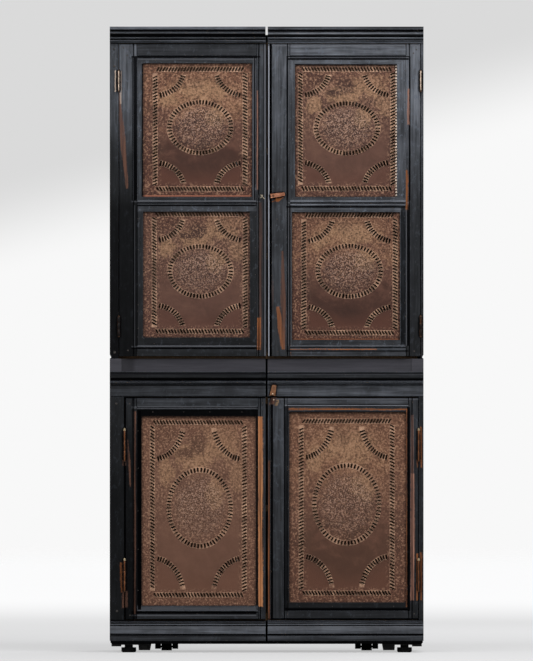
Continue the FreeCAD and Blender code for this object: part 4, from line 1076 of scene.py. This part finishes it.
def paint_case():
    # Grey levels up the case's pieces rise towards the top, where the light falls brightest: painted light
    # over the paint's own tone.
    dark = ((34, 26), (900, 30), (1790, 44))
    dress("side_left side_right", black_paint("side_board_paint", "z", dark, bare=case_inside))
    dress("upper_stile_left", black_paint(
        "upper_left_stile_paint", "z", ((852, 20), (1280, 22), (1480, 38), (1600, 66), (1791, 56)),
        [worn((-441, -436.4), (1626, 1690), "pale", 1.0)], door_back))
    dress("upper_stile_right", black_paint(
        "upper_right_stile_paint", "z", ((852, 28), (1300, 36), (1600, 66), (1791, 70)), (), door_back))
    dress("lower_stile_left", black_paint(
        "lower_left_stile_paint", "z", ((34, 24), (450, 23), (741, 30)),
        [worn((-426, -417), (172, 262), "orange", 0.8, -0.03), worn((-421, -412.5), (128, 178), "brown", 1.0),
         worn((-419, -413), (540, 560), "brown", 0.9)], door_back, joints=[((-414.5, -412), (95, 741), 0.9)]))
    dress("lower_stile_right", black_paint(
        "lower_right_stile_paint", "z", ((34, 30), (741, 34)),
        [worn((444.5, 452), (535, 656), "orange", 1.0), worn((444.5, 452), (150, 292), "orange", 1.0)],
        door_back))
    # The sweeps lighten each half along x: painted light.
    for node, tones, *sweep in (
            ("cornice_left", CORNICE_LEFT, (-455, 0.8), (-3, 1.0)), ("cornice_right", CORNICE_RIGHT),
            ("waist_moulding_left", WAIST_LEFT), ("waist_moulding_right", WAIST_RIGHT),
            ("frieze_left", FRIEZE_LEFT, (-455, 0.75), (-200, 1.0), (-3, 1.35)),
            ("frieze_right", FRIEZE_RIGHT), ("plinth_left", PLINTH_LEFT), ("plinth_right", PLINTH_RIGHT)):
        dress(node, black_paint(f"{node}_paint", "x", tones, arris=2.0, bloom=0.5, sweep=sweep))
    dress("base_skid", black_paint("skid_paint", "x", ((25, 10), (34, 13))))
    # Darkest at the gap under the upper doors: painted shade.
    dress("waist_board bottom_board waist_rail",
          black_paint("board_paint", "x", ((34, 22), (848, 30), (850, 14), (1791, 24))))
    dress("top_board", black_paint("top_board_paint", "x", ((1767, 40), (1791, 46)),
                                   bare=lambda finish: finish.z.rise(1768, 1767.4)))
    dress("grip_rail_left grip_rail_right", grip_grey("finger_rail_grey"))
    dress("back_boards", pine("back_plank_pine", "z", 0.62, 0.6))
    dress("shelves", pine("shelf_pine", "x", 0.9, 0.35))
    dress("shelf_cleats", pine("shelf_cleats_pine", "y", 0.8, 0.3))
    dress("door_stops", pine("door_stops_pine", "z", 0.8, 0.3))


# Spans of z round the high and the low tins, and on each door the bars of painted shade in gaps and
# quirks as (x span, z span, strength), then the painted highlights on beads and arrises as (x span,
# z span, grey level).
HIGH = (1311, 1727)
LOW = (889, 1297)
DOOR_LINES = {
    "upper_left": (
        [((-391, -388), HIGH, 0.8), ((-384.5, -376), HIGH, 0.95), ((-362.6, -359), (1322, 1708), 0.95),
         ((-392, -18), (1725, 1730), 0.95), ((-37.5, -33.5), HIGH, 0.85), ((-377, -374), LOW, 0.95),
         ((-375, -31), (1294.5, 1299.5), 0.9), ((-392, -18), (880, 884.5), 0.98),
         ((-428, -2), (858, 859.8), 0.9), ((-428, -2), (1764, 1766), 0.9), ((-10.5, -7.5), (860, 1765), 0.6)],
        [((-387.6, -384.6), HIGH, 84), ((-384.8, -381.6), LOW, 78), ((-374, -31), (1718.5, 1722), 74),
         ((-392, -18), (1306, 1309.5), 76), ((-392, -18), (885, 889), 80), ((-7.4, -1.5), (860, 1765), 82),
         ((-39.5, -37), HIGH, 84)]),
    "upper_right": (
        [((9.2, 15.4), (859, 1765), 1.0), ((57, 62.5), HIGH, 0.85), ((65, 69.5), LOW, 0.85),
         ((412.5, 417.5), HIGH, 0.95), ((407, 412.5), LOW, 0.98), ((57, 417), (1726.8, 1730), 0.95),
         ((62, 412), (1718.5, 1723.8), 0.95), ((82, 378), (1704.5, 1707.5), 0.7),
         ((57, 412), (1289.5, 1295), 0.95),
         ((57, 412), (872, 877), 0.75), ((4, 446), (858, 860), 0.9), ((389, 403), (893, 1294), 0.75)],
        [((4.6, 8.9), (860, 1765), 150), ((4, 446), (1758.5, 1763.5), 100), ((62, 412), (1724.2, 1726.5), 96),
         ((404, 407), LOW, 80), ((62, 412), (1303, 1306), 96), ((62, 72), LOW, 72)]),
    "lower_left": (
        [((-412, -407.5), (96, 740), 0.95), ((-391, -387), (96, 740), 0.7),
         ((-373.5, -364), (124, 702), 0.97), ((-411, -4), (736.8, 740.6), 0.98),
         ((-374, -30), (686.5, 703), 0.85), ((-392, -30), (111.5, 120), 0.97),
         ((-411, -4), (95, 97.5), 0.9)],
        [((-392, -30), (707.5, 714.5), 76), ((-374, -30), (122.8, 131), 76),
         ((-392, -30), (105.5, 109), 84)]),
    "lower_right": (
        [((12.6, 18.6), (96, 740), 0.98), ((51, 63.5), (120, 715), 0.75), ((407, 416), (120, 712), 0.93),
         ((438.5, 441), (96, 740), 0.7), ((4, 440), (736.8, 740.6), 0.98), ((52, 412), (711.5, 714.5), 0.6),
         ((66, 404), (697, 699.5), 0.85), ((52, 416), (121.5, 130), 0.97), ((4, 440), (95, 99.5), 0.95)],
        [((8.6, 12.4), (96, 740), 84), ((52, 412), (714.5, 718.5), 112), ((4, 440), (733, 737.5), 84)]),
}


def door_paint(door, part, tones, marks=(), **more):
    joints, highlight_bars = DOOR_LINES[door]
    if part == "tin_strips":
        left, right, tiers = STRIPS[door]
        more["frames"] = ((left, right), sorted(level for tier in tiers for level in tier))
    else:
        more["bare"] = door_back
    along = "x" if part == "rails" else "z"
    dress(f"{door}_door_{part}", black_paint(f"{door}_{part}_paint", along, tones, marks, joints=joints,
                                             highlight_bars=highlight_bars, **more))


# Grey levels on the upper doors rise towards the top, where the light falls brightest: painted light over the
# paint's wear; the sweeps along x on the strips are painted light too.
def paint_upper_doors():
    door_paint("upper_left", "hinge_stile", ((852, 21), (1290, 22), (1440, 34), (1560, 80), (1765, 78)), [
        worn((-427, -408), (1345, 1630), "brown", 0.85, -0.09, 0.55),
        worn((-423.6, -420), (1625, 1688), "pale", 0.9),
        worn((-427, -419), (1590, 1626), "pale", 0.5)])
    door_paint("upper_left", "lock_stile", ((852, 36), (1290, 40), (1560, 52), (1765, 54)), [
        worn((-30.5, -23.5), (1341, 1631), "rose", 0.8),
        worn((-24, -12), (892, 1306), "brown", 0.4),
        worn((-28.5, -16.5), (877, 972), "orange", 0.85)])
    door_paint("upper_left", "rails", ((858, 28), (880, 34), (1292, 52), (1304, 62), (1330, 42), (1765, 42)))
    door_paint("upper_left", "tin_strips",
               ((880, 26), (1278, 34), (1282, 66), (1292, 50), (1312, 42), (1420, 46), (1520, 58), (1690, 60),
                (1712, 46), (1724, 46)),
               sweep=((-375, 1.25), (-362, 1.25), (-355, 1.0), (-30, 1.0)), bloom=2.2)
    door_paint("upper_right", "hinge_stile", ((852, 28), (1290, 40), (1450, 64), (1640, 100), (1765, 92)), [
        worn((406.5, 415.5), (1530, 1636), "rose", 1.0),
        worn((401, 411), (1283, 1400), "orange", 1.0)])
    door_paint("upper_right", "lock_stile",
               ((852, 44), (1280, 54), (1320, 46), (1420, 48), (1470, 62), (1765, 80)), [
                   worn((31, 50), (878, 1004), "orange", 0.7, -0.13, 0.4),
                   worn((40, 57), (880, 1166), "brown", 0.8, -0.02, 0.5),
                   worn((12, 22), (985, 1110), "brown", 0.4, 0, 0.6),
                   worn((21, 42), (1306, 1320), "orange", 1.0, 1.0)])
    door_paint("upper_right", "rails",
               ((858, 58), (890, 64), (1290, 96), (1330, 92), (1400, 76), (1765, 86)), [
                   worn((53, 320), (877, 882), "orange", 0.9),
                   worn((60, 72), (862, 870), "orange", 0.9)])
    door_paint("upper_right", "tin_strips",
               ((880, 48), (914, 48), (1276, 50), (1280, 68), (1300, 72), (1324, 50), (1400, 56), (1600, 64),
                (1724, 76)),
               sweep=((68, 0.9), (370, 1.0), (379, 1.4), (403, 1.4)), bloom=2.2)


# Grey levels on the lower doors hold painted light and shade as well as the paint's wear.
def paint_lower_doors():
    door_paint("lower_left", "hinge_stile", ((95, 20), (560, 22), (740, 30)), [
        worn((-404, -394), (480, 620), "brown", 0.8, -0.06, 0.5),
        worn((-386, -378), (110, 700), "brown", 0.85),
        worn((-411.5, -402), (129, 180), "brown", 0.9),
        worn((-411.5, -405), (540, 560), "brown", 0.9)])
    door_paint("lower_left", "lock_stile", ((95, 36), (740, 50)),
               [worn((-26, -10), (132, 686), "honey", 1.0)])
    door_paint("lower_left", "rails", ((95, 24), (100, 40), (122, 38), (700, 46), (720, 50), (735, 56)))
    door_paint("lower_left", "tin_strips", ((122, 56), (134, 60), (136, 18), (700, 16)))
    door_paint("lower_right", "hinge_stile", ((95, 28), (560, 40), (740, 54)), [
        worn((416, 430.5), (150, 520), "rose", 0.85, 0, 0.12),
        worn((417, 427), (500, 690), "rose", 0.45),
        worn((435, 441), (535, 560), "orange", 0.9),
        worn((433, 440.5), (150, 288), "orange", 0.9)])
    door_paint("lower_right", "lock_stile", ((95, 36), (340, 44), (600, 60), (740, 60)), [
        worn((3, 11), (94, 558), "orange", 0.7),
        worn((9, 28), (718, 742), "brown", 1.0, 0.3),
        worn((24, 35), (714, 734), "tan", 0.8, 0.4)])
    door_paint("lower_right", "rails", ((95, 34), (135, 36), (700, 64), (722, 50), (728, 70), (740, 70)),
               [worn((60, 400), (136, 142), "orange", 0.8)])
    door_paint("lower_right", "tin_strips", ((129, 26), (700, 50)), [
        worn((403, 408), (131, 708), "orange", 0.9),
        worn((62, 408), (702, 708.8), "orange", 1.0)])


def paint_underside():
    foot = moulded_plastic("foot_plastic", tint(10, 10, 11), tint(36, 35, 35), 0.6)
    tread = moulded_plastic("roller_plastic", tint(11, 11, 12), tint(40, 39, 38), 0.55)
    steel = plain_metal("bracket_steel_plate", tint(12, 12, 12), tint(52, 51, 50), 0.5, 0.5)
    dress("levelling_foot_left levelling_foot_right", foot)
    dress("roller_left roller_right", tread)
    dress("foot_brackets roller_brackets", steel)


# ---------------------------------------------------------------- floor, light and camera

BACKDROP_LEAN = -0.28
BACKDROP_FADE = (0.0060, 0.0112)


def studio():
    start()
    bpy.ops.mesh.primitive_circle_add(vertices=96, radius=60, fill_type="NGON", location=(0, 0, 0))
    floor = bpy.context.object
    floor.name = "studio_floor"
    finish = Finish("studio_floor_paper", gloss=0.1)
    far = (finish.x * finish.x + finish.y * finish.y) ** 0.5
    mottle = finish.noise(900, 3.0, 0.5)
    finish.colour = finish.blend(mottle, tint(140, 140, 141), tint(146, 146, 147))
    finish.coat(0.9 + mottle * 0.05)
    seen = finish.node("ShaderNodeLightPath", output="Is Camera Ray")
    glow = finish.blend(far.rise(1200, 12000), tint(182, 182, 182), tint(240, 240, 240))
    glow = finish.blend(seen, tint(0, 0, 0), glow)
    finish.feed(finish.surface.inputs["Emission Color"], glow)
    finish.surface.inputs["Emission Strength"].default_value = 1.0
    finish.feed(finish.surface.inputs["Alpha"], far.rise(30000, 20000))
    floor.data.materials.append(finish.material)

    world = bpy.data.worlds.new("studio_backdrop")
    bpy.context.scene.world = world
    world.use_nodes = True
    sky = Shading(world.node_tree)
    way = sky.node("ShaderNodeTexCoord", output="Generated")
    across, up = (sky.node("ShaderNodeSeparateXYZ", sockets=[way], output=part) for part in "XZ")
    slope = across * BACKDROP_LEAN + up
    backdrop = sky.blend(slope.rise(*BACKDROP_FADE), tint(248, 248, 248), tint(218, 218, 218))
    seen = sky.node("ShaderNodeLightPath", output="Is Camera Ray")
    light = sky.tree.nodes["Background"].inputs
    sky.feed(light["Color"], sky.blend(seen, (0.30, 0.305, 0.315, 1), backdrop))
    light["Strength"].default_value = 1.0

    for name, spot, aim, size, power in (
            ("left_softbox", (-3.4, -4.2, 3.4), (0, 0, 1.0), 1.5, 80),
            ("right_softbox", (3.2, -4.0, 3.8), (0, 0, 1.2), 1.5, 110),
            ("top_softbox", (0.2, -1.9, 4.4), (0, -0.3, 1.2), 1.2, 70),
            ("back_softbox", (1.5, 4.2, 3.2), (0, 0, 1.0), 2.2, 80)):
        lamp = bpy.data.lights.new(name, "AREA")
        lamp.size = size
        lamp.energy = power
        holder = bpy.data.objects.new(name, lamp)
        put(holder)
        holder.location = spot
        holder.rotation_euler = (Vector(aim) - Vector(spot)).to_track_quat("-Z", "Y").to_euler()


PICTURE_HIGH = 661
PICTURE_STEP = 0.0029
EYE = (-0.0004, -0.2195, 0.9338)


def camera():
    """Straight on from far off, with one picture step covering 2.9 mm at the doors."""
    distance = 60.0
    lens = bpy.data.cameras.new("front_camera")
    lens.sensor_width = 36
    lens.lens = lens.sensor_width * distance / (PICTURE_HIGH * PICTURE_STEP)
    holder = bpy.data.objects.new("front_camera", lens)
    put(holder)
    holder.location = (EYE[0], EYE[1] - distance, EYE[2])
    holder.rotation_euler = (QUARTER, 0, 0)
    bpy.context.scene.camera = holder
    bpy.context.scene.view_settings.view_transform = "Standard"


camera()
paint_case()
paint_upper_doors()
paint_lower_doors()
paint_underside()
punched_tins()
hinges()
turn_buttons()
keeper_plate()
pegs_and_nails()
plank_tongues()
edge_beads()
studio()
start()
